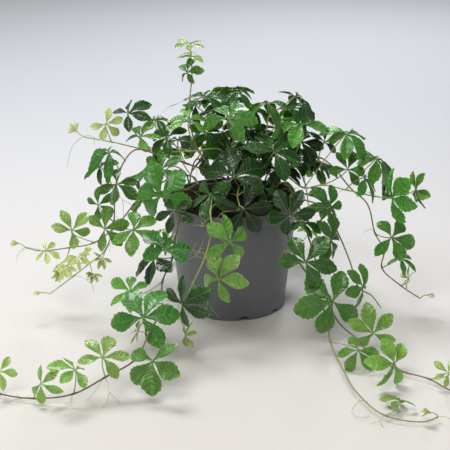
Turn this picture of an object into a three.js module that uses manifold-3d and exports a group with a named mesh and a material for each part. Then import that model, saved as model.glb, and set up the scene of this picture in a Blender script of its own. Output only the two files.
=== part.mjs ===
// Potted miniature grape ivy: a small nursery pot of soil with leafy stems that rise from it,
// arch over the rim and trail down. Millimetres, +Z up. The origin is the centre of the pot's base.
// The front of the plant faces -Y, its right side +X.
import * as THREE from "three";
import { mergeVertices } from "three/addons/utils/BufferGeometryUtils.js";
import Module from "manifold-3d";

const wasm = await Module();
wasm.setup();

// Driving dimensions
const potHeight = 100;
const potTopRadius = 60;
const potBaseRadius = 48;
const wallThickness = 1.6;
const rimBand = 11;
const rimStep = 1.3;
const footHeight = 2.4;
const floorThickness = 2;
const padRadius = 10;
const drainHole = { count: 5, radius: 4, fromCentre: 28 };
const baseNotch = { count: 9, width: 12, height: 1.8 };
const gap = 0.3;
const soilEdgeHeight = 97;
const soilHeap = 11;
const soilClump = { at: [38, 6], height: 9, spread: 22 };
const rootDepth = 9;
const stemRadius = 1.15;
const tipRadius = 0.7;
const petioleRadius = 0.62;
const bladeThickness = 1.3;
const longestStep = 22;
const longPetiole = 45;

const potSides = 24;
const stemSides = 4;
const petioleSides = 3;

const radians = THREE.MathUtils.degToRad;
const point = (list) => new THREE.Vector3(...list);

// A closed solid from a list of points and a list of triangles.
function solid(points, triangles) {
  const vertProperties = new Float32Array(points.flatMap((p) => [p.x, p.y, p.z]));
  const triVerts = new Uint32Array(triangles.flat());
  return new wasm.Manifold(new wasm.Mesh({ numProp: 3, vertProperties, triVerts }));
}

function solidOfGeometry(geometry) {
  const bare = geometry.clone();
  bare.deleteAttribute("normal");
  bare.deleteAttribute("uv");
  const merged = mergeVertices(bare, 1e-4);
  return new wasm.Manifold(
    new wasm.Mesh({
      numProp: 3,
      vertProperties: merged.attributes.position.array,
      triVerts: new Uint32Array(merged.index.array),
    }),
  );
}

function meshOf(name, shape, material) {
  const made = shape.getMesh();
  const geometry = new THREE.BufferGeometry();
  geometry.setAttribute("position", new THREE.BufferAttribute(made.vertProperties, 3));
  geometry.setIndex(new THREE.BufferAttribute(made.triVerts, 1));
  geometry.computeVertexNormals();
  const mesh = new THREE.Mesh(geometry, material);
  mesh.name = name;
  return mesh;
}

// A turned solid about +Z; the profile runs from the axis at the bottom, out and up, back to the axis.
function turned(profile, sides) {
  const points = profile.map(([r, z]) => new THREE.Vector2(r, z));
  const lathe = new THREE.LatheGeometry(points, sides);
  lathe.rotateX(Math.PI / 2);
  return solidOfGeometry(lathe);
}

// An upright prism that cuts a hole.
function plug(x, y, radius, low, high, sides) {
  const cylinder = new THREE.CylinderGeometry(radius, radius, high - low, sides);
  cylinder.rotateX(Math.PI / 2);
  cylinder.translate(x, y, (low + high) / 2);
  return solidOfGeometry(cylinder);
}

// Pot: a thin tapered wall with a rim band, a foot ring, drain holes and notches at the bottom edge.
const wallRadius = (z) => {
  const underRim = potTopRadius - rimStep;
  return potBaseRadius + ((underRim - potBaseRadius) * z) / potHeight;
};
const innerRadius = (z) => wallRadius(z) - wallThickness;
const potFloor = footHeight + floorThickness;

function makePot() {
  const bandBottom = potHeight - rimBand;
  const profile = [
    [0, 0],
    [padRadius, 0],
    [padRadius + 2, footHeight],
    [potBaseRadius - 7, footHeight],
    [potBaseRadius - 5, 0],
    [potBaseRadius, 0],
    [wallRadius(bandBottom), bandBottom],
    [potTopRadius - 0.4, bandBottom + 1],
    [potTopRadius, potHeight - 1],
    [potTopRadius - 0.5, potHeight],
    [innerRadius(potHeight), potHeight],
    [innerRadius(potFloor), potFloor],
    [0, potFloor],
  ];
  let pot = turned(profile, potSides);
  for (let i = 0; i < drainHole.count; i++) {
    const a = (2 * Math.PI * (i + 0.5)) / drainHole.count;
    const x = drainHole.fromCentre * Math.cos(a);
    const y = drainHole.fromCentre * Math.sin(a);
    pot = pot.subtract(plug(x, y, drainHole.radius, -1, potFloor + 1, 6));
  }
  for (let i = 0; i < baseNotch.count; i++) {
    const notch = new THREE.BoxGeometry(baseNotch.width, baseNotch.width / 2, 2 * baseNotch.height);
    notch.translate(potBaseRadius - 2, 0, 0);
    notch.rotateZ((2 * Math.PI * (i + 0.3)) / baseNotch.count);
    pot = pot.subtract(solidOfGeometry(notch));
  }
  return pot;
}

// Soil: fills the pot, heaped towards the middle, with an uneven top and a clump at the right.
function soilTop(x, y) {
  const r = Math.min(Math.hypot(x, y) / potTopRadius, 1);
  const lumps =
    1.1 * Math.sin(0.21 * x + 1.3) * Math.cos(0.26 * y) + 0.7 * Math.sin(0.47 * x - 0.39 * y);
  const off = Math.hypot(x - soilClump.at[0], y - soilClump.at[1]) / soilClump.spread;
  const clump = soilClump.height * Math.exp(-off * off);
  return soilEdgeHeight + (soilHeap + lumps) * (1 - r * r) + clump;
}

function makeSoil(roots) {
  const bottom = potFloor + gap;
  const edge = innerRadius(soilEdgeHeight) - gap;
  const sides = potSides;
  const rings = [1, 0.93, 0.5];
  const points = [new THREE.Vector3(0, 0, bottom)];
  const ringOf = (radius, height) => {
    for (let i = 0; i < sides; i++) {
      const a = (2 * Math.PI * i) / sides;
      const x = radius * Math.cos(a);
      const y = radius * Math.sin(a);
      points.push(new THREE.Vector3(x, y, height(x, y)));
    }
  };
  ringOf(innerRadius(bottom) - 2 * gap, () => bottom);
  for (const share of rings) {
    const level = share === 1 ? () => soilEdgeHeight - 2 : soilTop;
    ringOf(edge * share, level);
  }
  points.push(new THREE.Vector3(0, 0, soilTop(0, 0)));
  const triangles = [];
  const ringCount = rings.length + 1;
  const at = (ring, i) => 1 + ring * sides + (i % sides);
  for (let i = 0; i < sides; i++) {
    triangles.push([0, at(0, i + 1), at(0, i)]);
    for (let ring = 0; ring + 1 < ringCount; ring++) {
      triangles.push([at(ring, i), at(ring, i + 1), at(ring + 1, i + 1)]);
      triangles.push([at(ring, i), at(ring + 1, i + 1), at(ring + 1, i)]);
    }
    triangles.push([at(ringCount - 1, i), at(ringCount - 1, i + 1), points.length - 1]);
  }
  let soil = solid(points, triangles);
  for (const [x, y] of roots) {
    const low = soilTop(x, y) - rootDepth - gap;
    soil = soil.subtract(plug(x, y, stemRadius + 2 * gap, low, low + 30, stemSides));
  }
  return soil;
}

// A closed tube along a path, with a radius at each point and flat ends.
function tube(path, radii, sides) {
  const points = [];
  const triangles = [];
  let across = new THREE.Vector3(1, 0, 0);
  path.forEach((p, i) => {
    const before = path[Math.max(i - 1, 0)];
    const after = path[Math.min(i + 1, path.length - 1)];
    const along = after.clone().sub(before).normalize();
    if (i === 0 && Math.abs(along.x) > 0.9) across.set(0, 1, 0);
    across = across.sub(along.clone().multiplyScalar(across.dot(along))).normalize();
    const other = along.clone().cross(across);
    for (let k = 0; k < sides; k++) {
      const a = (2 * Math.PI * k) / sides;
      const rim = across.clone().multiplyScalar(Math.cos(a) * radii[i]);
      rim.addScaledVector(other, Math.sin(a) * radii[i]);
      points.push(rim.add(p));
    }
  });
  const at = (i, k) => i * sides + (k % sides);
  for (let i = 0; i + 1 < path.length; i++) {
    for (let k = 0; k < sides; k++) {
      triangles.push([at(i, k), at(i, k + 1), at(i + 1, k + 1)]);
      triangles.push([at(i, k), at(i + 1, k + 1), at(i + 1, k)]);
    }
  }
  const last = path.length - 1;
  for (let k = 1; k + 1 < sides; k++) {
    triangles.push([at(0, 0), at(0, k + 1), at(0, k)]);
    triangles.push([at(last, 0), at(last, k), at(last, k + 1)]);
  }
  return { points, triangles };
}

// A leaf has five leaflets round its hub. Angles in degrees from the middle one, lengths as shares of it.
const leaflets = [
  { angle: 0, share: 1 },
  { angle: 60, share: 0.92 },
  { angle: 122, share: 0.82 },
  { angle: -122, share: 0.82 },
  { angle: -60, share: 0.92 },
];
// One edge of a leaflet as [along, across] in shares of its length: the widest tooth, the cut behind it
// and the last tooth before the tip. Leaves in the shade of others and small ones have fewer.
const edges = {
  full: [[0.6, 0.245], [0.69, 0.2], [0.83, 0.19]],
  plain: [[0.58, 0.235], [0.83, 0.18]],
  small: [[0.62, 0.22]],
};
const youngLeaf = 16;
const largeLeaf = 26;
function leafEdge(leaf) {
  if (leaf.long < youngLeaf || leaf.rear) return edges.small;
  return leaf.long < largeLeaf || leaf.shaded ? edges.plain : edges.full;
}
const ribPlace = 0.55;
const hubRadius = 1.7;
const usualArch = 0.25;
const fold = 0.3;

// The way a leaf faces: side is its bearing from the front, to the right, and lift its angle above level.
// turn swings the middle leaflet round from straight down the leaf's slope.
function leafAxes(leaf) {
  const side = radians(leaf.side);
  const lift = radians(leaf.lift);
  const turn = radians(leaf.turn);
  const face = new THREE.Vector3(
    Math.sin(side) * Math.cos(lift),
    -Math.cos(side) * Math.cos(lift),
    Math.sin(lift),
  );
  const down = new THREE.Vector3(
    Math.sin(side) * Math.sin(lift),
    -Math.cos(side) * Math.sin(lift),
    -Math.cos(lift),
  );
  const right = face.clone().cross(down);
  const middle = down.multiplyScalar(Math.cos(turn)).addScaledVector(right, Math.sin(turn));
  return { face, middle, left: face.clone().cross(middle) };
}

// The leaf's blade, cut in to its ribs between the leaflets, and its petiole, as one closed surface.
function makeLeaf(leaf, root) {
  const { face, middle, left } = leafAxes(leaf);
  const hub = point(leaf.at);
  const points = [];
  const triangles = [];
  const place = (heading, along, across, rise) => {
    const s = Math.sin(heading);
    const c = Math.cos(heading);
    const p = hub.clone();
    p.addScaledVector(middle, along * c - across * s);
    p.addScaledVector(left, along * s + across * c);
    p.addScaledVector(face, rise);
    return points.push(p) - 1;
  };
  const half = bladeThickness / 2;
  const arch = leaf.arch ?? usualArch;
  const edge = leafEdge(leaf);
  const top = place(0, 0, 0, half);

  const notch = leaflets.map((one, i) => {
    const next = leaflets[(i + 1) % leaflets.length];
    const turnOn = (((next.angle - one.angle) % 360) + 360) % 360;
    return place(radians(one.angle + turnOn / 2), hubRadius, 0, 0);
  });
  const loop = [];
  leaflets.forEach(({ angle, share }, i) => {
    const heading = radians(angle);
    const long = leaf.long * share;
    const lean = (along, across) => (-arch * along * along + fold * Math.abs(across)) * long;
    const set = (along, across, extra) =>
      place(heading, along * long, across * long, lean(along, across) + extra);
    const tip = set(1, 0, 0);
    const ribTop = set(ribPlace, 0, half);
    const ribUnder = set(ribPlace, 0, -half);
    const sides = [
      { start: notch[(i + leaflets.length - 1) % leaflets.length], sign: -1 },
      { start: notch[i], sign: 1 },
    ];
    for (const { start, sign } of sides) {
      const chain = [start, ...edge.map(([along, across]) => set(along, sign * across, 0)), tip];
      for (let k = 0; k + 1 < chain.length; k++) {
        const [a, b] = sign < 0 ? [chain[k], chain[k + 1]] : [chain[k + 1], chain[k]];
        triangles.push([ribTop, a, b]);
        triangles.push([ribUnder, b, a]);
      }
      if (sign < 0) triangles.push([top, start, ribTop]);
      else triangles.push([top, ribTop, start]);
    }
    loop.push(sides[0].start, ribUnder);
  });

  // The petiole leaves the underside of the hub, bends and runs to the stem.
  const span = hub.distanceTo(root);
  const bend = hub.clone().addScaledVector(face, -0.34 * span).addScaledVector(middle, -0.22 * span);
  const curve = new THREE.QuadraticBezierCurve3(hub, bend, root);
  const path = [];
  const steps = span > longPetiole ? 3 : 2;
  for (let k = 0; k <= steps; k++) path.push(curve.getPoint(k / steps));
  path[0].addScaledVector(face, -half);
  let from = null;
  path.forEach((p, i) => {
    const ahead = path[Math.min(i + 1, steps)].clone().sub(path[Math.max(i - 1, 0)]).normalize();
    if (i === 0) ahead.copy(face).negate();
    const across = middle.clone();
    across.addScaledVector(ahead, -across.dot(ahead)).normalize();
    const other = ahead.clone().cross(across);
    const ring = [];
    for (let k = 0; k < petioleSides; k++) {
      const a = (2 * Math.PI * k) / petioleSides;
      const q = p.clone().addScaledVector(across, Math.cos(a) * petioleRadius);
      q.addScaledVector(other, Math.sin(a) * petioleRadius);
      ring.push(points.push(q) - 1);
    }
    if (from) {
      for (let k = 0; k < petioleSides; k++) {
        const next = (k + 1) % petioleSides;
        triangles.push([from[k], from[next], ring[next]]);
        triangles.push([from[k], ring[next], ring[k]]);
      }
    }
    from = ring;
    if (i === 0) joinRing(points, triangles, loop, ring, hub, middle, left);
  });
  triangles.push([from[0], from[1], from[2]]);
  return solid(points, triangles);
}

// Closes the underside between the loop round the hub and the petiole's first ring.
function joinRing(points, triangles, loop, ring, hub, middle, left) {
  const bearing = (index) => {
    const v = points[index].clone().sub(hub);
    return Math.atan2(v.dot(left), v.dot(middle));
  };
  const apart = (a, b) => Math.abs(Math.atan2(Math.sin(a - b), Math.cos(a - b)));
  const nearest = (angle) =>
    ring.reduce((best, r) => (apart(bearing(r), angle) < apart(bearing(best), angle) ? r : best));
  const count = loop.length;
  const middleOf = (a, b) => {
    const x = Math.cos(a) + Math.cos(b);
    const y = Math.sin(a) + Math.sin(b);
    return Math.atan2(y, x);
  };
  const chosen = loop.map((v, i) => nearest(middleOf(bearing(v), bearing(loop[(i + 1) % count]))));
  loop.forEach((v, i) => {
    const next = loop[(i + 1) % count];
    triangles.push([chosen[i], next, v]);
    const before = chosen[(i + count - 1) % count];
    if (before !== chosen[i]) triangles.push([before, chosen[i], v]);
  });
}

// A stem with all its leaves, as one solid.
function makeVine(vine) {
  const [x, y] = vine.root;
  const ground = soilTop(x, y);
  const rootPoints = [new THREE.Vector3(x, y, ground - rootDepth), new THREE.Vector3(x, y, ground + 1)];
  const nodes = vine.path.map(point);
  const curve = new THREE.CatmullRomCurve3([...rootPoints, ...nodes], false, "centripetal");
  const last = rootPoints.length + nodes.length - 1;
  const path = [rootPoints[0]];
  for (let i = 1; i <= last; i++) {
    if (i > 1 && path.at(-1).distanceTo(curve.getPoint(i / last)) > longestStep) {
      path.push(curve.getPoint((i - 0.5) / last));
    }
    path.push(curve.getPoint(i / last));
  }
  const radii = path.map((p, i) => THREE.MathUtils.lerp(stemRadius, tipRadius, i / (path.length - 1)));
  const stem = tube(path, radii, stemSides);
  let shape = solid(stem.points, stem.triangles);
  for (const leaf of vine.leaves) {
    const at = (leaf.node + rootPoints.length) / last;
    shape = shape.add(makeLeaf(leaf, curve.getPoint(at)));
  }
  return shape;
}

// The stems that show from the front. path runs from just above the soil to the tip, and a leaf grows at
// path's point number node.
const vines = {
  top_shoot: {
    root: [-14, 6],
    path: [
      [-16, 8, 120], [-31, 10, 142], [-38, 8, 168], [-38, 6, 188], [-36, 7, 206], [-36, 8, 224], [-37, 8, 233],
    ],
    leaves: [
      { at: [-37, 4, 238], long: 17, side: 10, lift: 60, turn: -155, node: 6 },
      { at: [-36, -3, 225], long: 17, side: 25, lift: 15, turn: -140, node: 5 },
      { at: [-38, -4, 205], long: 21, side: 55, lift: 20, turn: -65, node: 4 },
      { at: [-25, 12, 189], long: 25, side: 10, lift: 55, turn: 170, node: 3, arch: 0.45 },
      { at: [-39, -10, 174], long: 23, side: 10, lift: 60, turn: 175, node: 1, arch: 0.5 },
    ],
  },
  left_high: {
    root: [-4, 18],
    path: [[-4, 14, 125], [-12, 0, 145], [-38, -6, 145], [-73, 4, 143], [-107, -4, 153], [-131, -6, 158]],
    leaves: [
      { at: [-69, 16, 168], long: 20, side: -40, lift: 60, turn: -170, node: 2 },
      { at: [-81, -10, 160], long: 20, side: -35, lift: 50, turn: 170, node: 2.6 },
      { at: [-91, 0, 178], long: 20, side: -35, lift: 45, turn: 160, node: 3 },
      { at: [-111, -6, 170], long: 17, side: 10, lift: 5, turn: 45, node: 4 },
      { at: [-137, -6, 163], long: 9, side: -30, lift: 40, turn: -120, node: 5 },
    ],
  },
  left_low: {
    root: [-12, -4],
    path: [
      [-16, -6, 122], [-42, -12, 136], [-65, -20, 146], [-85, -26, 152], [-98, -34, 136], [-102, -44, 117],
      [-103, -50, 94], [-111, -52, 69], [-125, -50, 56], [-140, -48, 43], [-162, -45, 25],
    ],
    leaves: [
      { at: [-57, -9, 159], long: 21, side: -30, lift: 50, turn: -100, node: 1, shaded: true },
      { at: [-107, -38, 153], long: 21, side: -5, lift: 65, turn: -105, node: 4 },
      { at: [-115, -32, 138], long: 19, side: -75, lift: 75, turn: -70, node: 5 },
      { at: [-99, -54, 130], long: 21, side: 10, lift: 40, turn: 50, node: 5 },
      { at: [-117, -42, 107], long: 17, side: -15, lift: 15, turn: 125, node: 6 },
      { at: [-110, -62, 92], long: 22, side: 0, lift: 30, turn: 110, node: 6 },
      { at: [-85, -64, 92], long: 26, side: 5, lift: 50, turn: 60, node: 6 },
      { at: [-134, -54, 63], long: 12, side: -20, lift: 30, turn: 20, node: 8 },
      { at: [-122, -60, 50], long: 10, side: 20, lift: 30, turn: -20, node: 8 },
      { at: [-169, -45, 26], long: 8, side: -60, lift: 40, turn: 10, node: 10 },
    ],
  },
  left_tip: {
    root: [-30, 8],
    path: [
      [-36, 6, 118], [-58, 2, 116], [-83, -4, 101], [-103, -10, 78], [-124, -14, 62], [-146, -16, 58],
      [-173, -16, 55], [-186, -16, 58],
    ],
    leaves: [
      { at: [-143, -20, 76], long: 21, side: 15, lift: 15, turn: 135, node: 4 },
      { at: [-153, -24, 46], long: 17, side: -70, lift: 50, turn: 85, node: 5 },
      { at: [-167, -24, 58], long: 14, side: 15, lift: 50, turn: 60, node: 6 },
      { at: [-191, -17, 62], long: 8, side: -50, lift: 40, turn: -30, node: 7 },
    ],
  },
  front_left: {
    root: [-26, -28],
    path: [
      [-32, -34, 109], [-43, -55, 103], [-48, -78, 95], [-51, -92, 77], [-59, -106, 61], [-59, -128, 47],
      [-68, -160, 37], [-78, -188, 27], [-100, -202, 19], [-124, -213, 10], [-156, -209, 4], [-184, -199, 3],
      [-203, -186, 2], [-220, -172, 4],
    ],
    leaves: [
      { at: [-50, -66, 110], long: 20, side: -20, lift: 30, turn: 0, node: 1, shaded: true },
      { at: [-56, -104, 89], long: 26, side: 30, lift: 60, turn: 150, node: 2 },
      { at: [-66, -86, 75], long: 27, side: -55, lift: 50, turn: -35, node: 3 },
      { at: [-87, -96, 48], long: 21, side: -5, lift: 50, turn: -115, node: 4 },
      { at: [-73, -150, 47], long: 32, side: -5, lift: 40, turn: 155, node: 6 },
      { at: [-77, -154, 37], long: 13, side: -75, lift: 25, turn: -60, node: 6 },
      { at: [-63, -200, 32], long: 28, side: -35, lift: 30, turn: 20, node: 7 },
      { at: [-102, -198, 34], long: 24, side: 10, lift: 55, turn: 150, node: 8 },
      { at: [-122, -214, 31], long: 20, side: 60, lift: 60, turn: -145, node: 9 },
      { at: [-149, -212, 18], long: 17, side: -20, lift: 15, turn: 75, node: 10 },
      { at: [-183, -200, 23], long: 17, side: 30, lift: 25, turn: 10, node: 11 },
      { at: [-206, -190, 17], long: 12, side: -30, lift: 45, turn: -60, node: 12 },
      { at: [-224, -170, 10], long: 8, side: -80, lift: 40, turn: 0, node: 13 },
    ],
  },
  front_mid: {
    root: [-10, -34],
    path: [
      [-11, -40, 109], [-19, -64, 110], [-18, -82, 100], [-23, -92, 79], [-34, -102, 57], [-41, -108, 42],
      [-44, -112, 29],
    ],
    leaves: [
      { at: [-21, -61, 125], long: 23, side: -20, lift: 30, turn: -10, node: 1 },
      { at: [-3, -92, 91], long: 30, side: 45, lift: 10, turn: 30, node: 2 },
      { at: [-12, -106, 63], long: 26, side: -35, lift: 25, turn: 155, node: 3 },
      { at: [-42, -124, 48], long: 26, side: -35, lift: 5, turn: 130, node: 4 },
      { at: [-40, -114, 16], long: 14, side: -60, lift: 20, turn: 120, node: 6 },
    ],
  },
  crown_left: {
    root: [-24, -10],
    path: [[-30, -14, 117], [-41, -30, 117], [-53, -42, 121]],
    leaves: [
      { at: [-62, -52, 118], long: 31, side: -20, lift: 10, turn: -160, node: 2 },
      { at: [-62, -32, 137], long: 20, side: -10, lift: 30, turn: 180, node: 1 },
      { at: [-49, 14, 150], long: 22, side: -20, lift: 60, turn: 180, node: 0, shaded: true },
    ],
  },
  crown_front: {
    root: [4, -22],
    path: [[6, -28, 120], [4, -44, 116], [6, -58, 111]],
    leaves: [
      { at: [1, -42, 133], long: 34, side: -10, lift: 45, turn: -165, node: 0 },
      { at: [12, -66, 114], long: 20, side: 25, lift: 20, turn: 20, node: 2, shaded: true },
      { at: [30, -42, 132], long: 17, side: 15, lift: 10, turn: 0, node: 1, shaded: true },
    ],
  },
  crown_mid: {
    root: [4, 4],
    path: [[4, 2, 122], [3, -4, 136], [1, 0, 154], [3, 4, 173], [5, 8, 184]],
    leaves: [
      { at: [-4, -16, 178], long: 28, side: -15, lift: 45, turn: 160, node: 2 },
      { at: [4, 27, 187], long: 18, side: -10, lift: 55, turn: 0, node: 4, shaded: true, arch: 0.4 },
      { at: [-33, 22, 180], long: 20, side: -40, lift: 40, turn: -95, node: 3, shaded: true },
      { at: [-22, 22, 154], long: 22, side: 0, lift: 20, turn: 10, node: 1, shaded: true },
      { at: [-9, 14, 157], long: 16, side: 10, lift: 40, turn: 20, node: 1, shaded: true },
      { at: [12, 22, 158], long: 19, side: 0, lift: 40, turn: 0, node: 2, shaded: true },
      { at: [20, 16, 176], long: 18, side: 20, lift: 50, turn: 60, node: 3, shaded: true },
    ],
  },
  crown_right: {
    root: [20, 6],
    path: [[22, 4, 122], [32, 0, 135], [30, 2, 159], [33, 6, 175], [42, 10, 180]],
    leaves: [
      { at: [36, -26, 150], long: 31, side: 30, lift: 50, turn: 120, node: 1 },
      { at: [31, 3, 184], long: 24, side: 0, lift: 55, turn: 165, node: 3, arch: 0.45 },
      { at: [53, 12, 179], long: 21, side: -55, lift: 75, turn: -160, node: 4, arch: 0.4 },
    ],
  },
  crown_back: {
    root: [30, 18],
    path: [[36, 18, 122], [51, 6, 127], [57, 5, 142]],
    leaves: [
      { at: [43, 16, 151], long: 22, side: 10, lift: 50, turn: 170, node: 1, shaded: true },
      { at: [61, -2, 167], long: 30, side: 10, lift: 70, turn: -160, node: 2, arch: 0.4 },
      { at: [62, 18, 147], long: 24, side: 20, lift: 45, turn: 10, node: 2, shaded: true },
    ],
  },
  right_high: {
    root: [32, 8],
    path: [[44, 4, 121], [64, -6, 111], [80, -10, 115], [100, -18, 113], [125, -24, 109], [145, -28, 108]],
    leaves: [
      { at: [100, -5, 160], long: 26, side: 30, lift: 50, turn: 90, node: 1, arch: 0.45 },
      { at: [101, -18, 132], long: 20, side: 10, lift: 30, turn: 150, node: 2, arch: 0.45 },
      { at: [127, -12, 139], long: 27, side: 50, lift: 50, turn: 70, node: 3, arch: 0.5 },
      { at: [116, -24, 126], long: 22, side: 80, lift: 40, turn: -20, node: 3 },
      { at: [139, -34, 111], long: 28, side: -65, lift: 0, turn: 145, node: 4 },
      { at: [160, -30, 117], long: 20, side: -75, lift: 0, turn: 90, node: 5 },
    ],
  },
  right_main: {
    root: [24, 22],
    path: [
      [40, 22, 121], [61, 18, 125], [77, 12, 134], [89, 6, 128], [106, 2, 108], [121, -4, 95], [128, -12, 70],
      [136, -18, 56], [134, -22, 41], [151, -28, 26], [168, -34, 16],
    ],
    leaves: [
      { at: [61, 14, 131], long: 26, side: 90, lift: 65, turn: 40, node: 1, shaded: true },
      { at: [83, 20, 146], long: 18, side: 30, lift: 30, turn: 160, node: 2, shaded: true },
      { at: [141, -28, 72], long: 25, side: 15, lift: 40, turn: 70, node: 6 },
      { at: [149, -30, 53], long: 17, side: 60, lift: 75, turn: 15, node: 8 },
      { at: [157, -32, 34], long: 13, side: -75, lift: 20, turn: -95, node: 9 },
      { at: [173, -36, 20], long: 8, side: 50, lift: 40, turn: 0, node: 10 },
    ],
  },
  right_low: {
    root: [36, -6],
    path: [
      [48, -10, 117], [59, -28, 109], [76, -42, 106], [89, -52, 89], [101, -62, 63], [109, -70, 41],
      [120, -74, 35], [128, -78, 25],
    ],
    leaves: [
      { at: [82, -60, 111], long: 21, side: 40, lift: 5, turn: -155, node: 2 },
      { at: [84, -68, 84], long: 25, side: 55, lift: 5, turn: 90, node: 3 },
      { at: [111, -84, 47], long: 23, side: -55, lift: 15, turn: -145, node: 5 },
    ],
  },
  floor_front: {
    root: [28, -26],
    path: [
      [36, -34, 116], [41, -56, 112], [45, -68, 95], [52, -74, 74], [69, -82, 49], [79, -104, 27],
      [81, -126, 15], [89, -175, 10], [95, -200, 7], [115, -238, 4], [143, -246, 3], [155, -240, 4],
    ],
    leaves: [
      { at: [48, -80, 110], long: 25, side: -15, lift: 5, turn: -140, node: 1 },
      { at: [61, -94, 74], long: 28, side: -5, lift: 25, turn: 145, node: 3 },
      { at: [84, -104, 42], long: 32, side: 5, lift: 20, turn: -75, node: 4 },
      { at: [102, -150, 18], long: 20, side: -20, lift: 45, turn: -20, node: 6 },
      { at: [127, -224, 10], long: 16, side: 90, lift: 75, turn: 120, node: 9 },
      { at: [149, -243, 9], long: 9, side: -80, lift: 40, turn: 5, node: 11 },
    ],
  },
  floor_right: {
    root: [38, -16],
    path: [
      [48, -24, 116], [57, -44, 107], [64, -56, 87], [72, -62, 62], [81, -72, 32], [91, -88, 16],
      [105, -112, 11], [112, -130, 8], [135, -158, 4], [157, -174, 4], [171, -192, 3], [188, -200, 2],
      [204, -204, 3],
    ],
    leaves: [
      { at: [59, -60, 98], long: 19, side: 50, lift: 65, turn: 40, node: 1 },
      { at: [115, -136, 27], long: 24, side: -10, lift: 5, turn: -170, node: 6 },
      { at: [128, -180, 20], long: 24, side: 35, lift: 15, turn: -105, node: 8 },
      { at: [170, -186, 15], long: 14, side: -15, lift: 30, turn: -125, node: 9 },
      { at: [190, -206, 14], long: 13, side: 20, lift: 50, turn: 30, node: 11 },
      { at: [208, -205, 8], long: 8, side: 70, lift: 40, turn: 0, node: 12 },
    ],
  },
};

// Stems at the back, by rule: each leans out at its own bearing and hangs down the pot, and the middle
// three trail away. backFall holds their distance from the pot's axis and height.
let seed = 4271;
function random() {
  seed = (seed * 16807) % 2147483647;
  return seed / 2147483647;
}
const between = (low, high) => low + (high - low) * random();

const backStems = [
  { bearing: 34, leafNodes: [1, 2, 3] },
  { bearing: 62, leafNodes: [1, 3, 4, 5, 7] },
  { bearing: 90, leafNodes: [1, 3, 4, 5, 7] },
  { bearing: 118, leafNodes: [1, 3, 4, 5, 7] },
  { bearing: 150, leafNodes: [1, 2, 3] },
];
const backFall = [[50, 116], [66, 119], [77, 103], [84, 72], [90, 40], [102, 10], [122, 3], [146, 3]];
const besidePot = 77;
const rootRing = 45;

function backVine({ bearing, leafNodes }) {
  const out = new THREE.Vector3(Math.cos(radians(bearing)), Math.sin(radians(bearing)), 0);
  const along = new THREE.Vector3(-out.y, out.x, 0);
  const sway = between(-5, 5);
  const reach = between(0.9, 1.15);
  const path = backFall.slice(0, leafNodes.at(-1) + 1).map(([r, z], i) => {
    const far = r < besidePot ? r : besidePot + (r - besidePot) * reach;
    const place = out.clone().multiplyScalar(far).addScaledVector(along, sway * Math.sin(0.8 * i));
    return [place.x, place.y, z];
  });
  const leaves = leafNodes.map((node, k) => {
    const hand = k % 2 ? 1 : -1;
    const onFloor = backFall[node][1] < 20;
    const at = point(path[node]).addScaledVector(out, between(10, 15));
    at.addScaledVector(along, hand * between(6, 10));
    at.z += between(8, 13) + (onFloor ? 6 : 0);
    return {
      at: at.toArray(),
      long: node === 7 ? youngLeaf - 2 : between(21, 26),
      side: 90 + bearing + hand * 14,
      lift: between(32, 57),
      turn: -40 * hand + between(-15, 15),
      node,
      rear: true,
    };
  });
  return { root: [out.x * rootRing, out.y * rootRing], path, leaves };
}

// A short upright stem at the back of the crown, with leaves spread round its far side.
function rearVine() {
  const path = [[2, 32, 122], [-2, 36, 142], [4, 38, 160], [0, 40, 174]];
  const bearings = [20, 160, 60, 120, 35, 145, 90];
  const leaves = bearings.map((bearing, k) => {
    const node = 0.4 + (2.6 * k) / (bearings.length - 1);
    const away = between(26, 31) - 2.5 * k;
    const at = point(path[Math.round(node)]);
    at.x += away * Math.cos(radians(bearing));
    at.y += away * Math.sin(radians(bearing));
    at.z += between(8, 14);
    return {
      at: at.toArray(),
      long: between(22, 26),
      side: 90 + bearing,
      lift: 35 + 6 * k,
      turn: between(-20, 20),
      node,
      rear: true,
    };
  });
  return { root: [2, 28], path, leaves };
}

backStems.forEach((stem, i) => {
  vines["back_" + (i + 1)] = backVine(stem);
});
vines.crown_rear = rearVine();

const finish = (color, roughness) => new THREE.MeshStandardMaterial({ color, roughness, metalness: 0 });
const plant = new THREE.Group();
plant.add(meshOf("pot", makePot(), finish(0x545456, 0.55)));
plant.add(meshOf("soil", makeSoil(Object.values(vines).map((vine) => vine.root)), finish(0x2a1f19, 0.95)));
for (const [name, vine] of Object.entries(vines)) {
  plant.add(meshOf("vine_" + name, makeVine(vine), finish(0x3f7a2c, 0.45)));
}

export default plant;
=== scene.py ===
# Potted miniature grape ivy: the finish of the pot, the soil and every leafy stem.
# Blender units are metres. Places in the tables below are in millimetres, in the same frame.
# The origin is the centre of the pot's base, +Z is up and the front of the plant faces -Y.
import math
import random

import bmesh
import bpy
from mathutils import Matrix, Vector, noise


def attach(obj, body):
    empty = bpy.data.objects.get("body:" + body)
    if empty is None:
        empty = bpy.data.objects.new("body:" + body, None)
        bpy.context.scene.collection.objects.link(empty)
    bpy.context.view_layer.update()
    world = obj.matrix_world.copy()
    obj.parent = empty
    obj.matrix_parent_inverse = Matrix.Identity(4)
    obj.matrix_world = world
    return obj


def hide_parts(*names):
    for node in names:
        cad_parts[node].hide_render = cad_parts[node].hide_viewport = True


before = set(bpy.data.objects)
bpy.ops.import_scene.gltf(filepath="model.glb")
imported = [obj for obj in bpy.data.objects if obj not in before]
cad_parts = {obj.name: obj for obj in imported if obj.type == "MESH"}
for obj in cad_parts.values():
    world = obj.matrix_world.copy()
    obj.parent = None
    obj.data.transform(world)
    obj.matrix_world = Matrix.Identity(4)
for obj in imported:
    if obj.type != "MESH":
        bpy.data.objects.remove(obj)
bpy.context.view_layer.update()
mm = 0.001
print("frame loaded:", len(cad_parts), "nodes")


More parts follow.
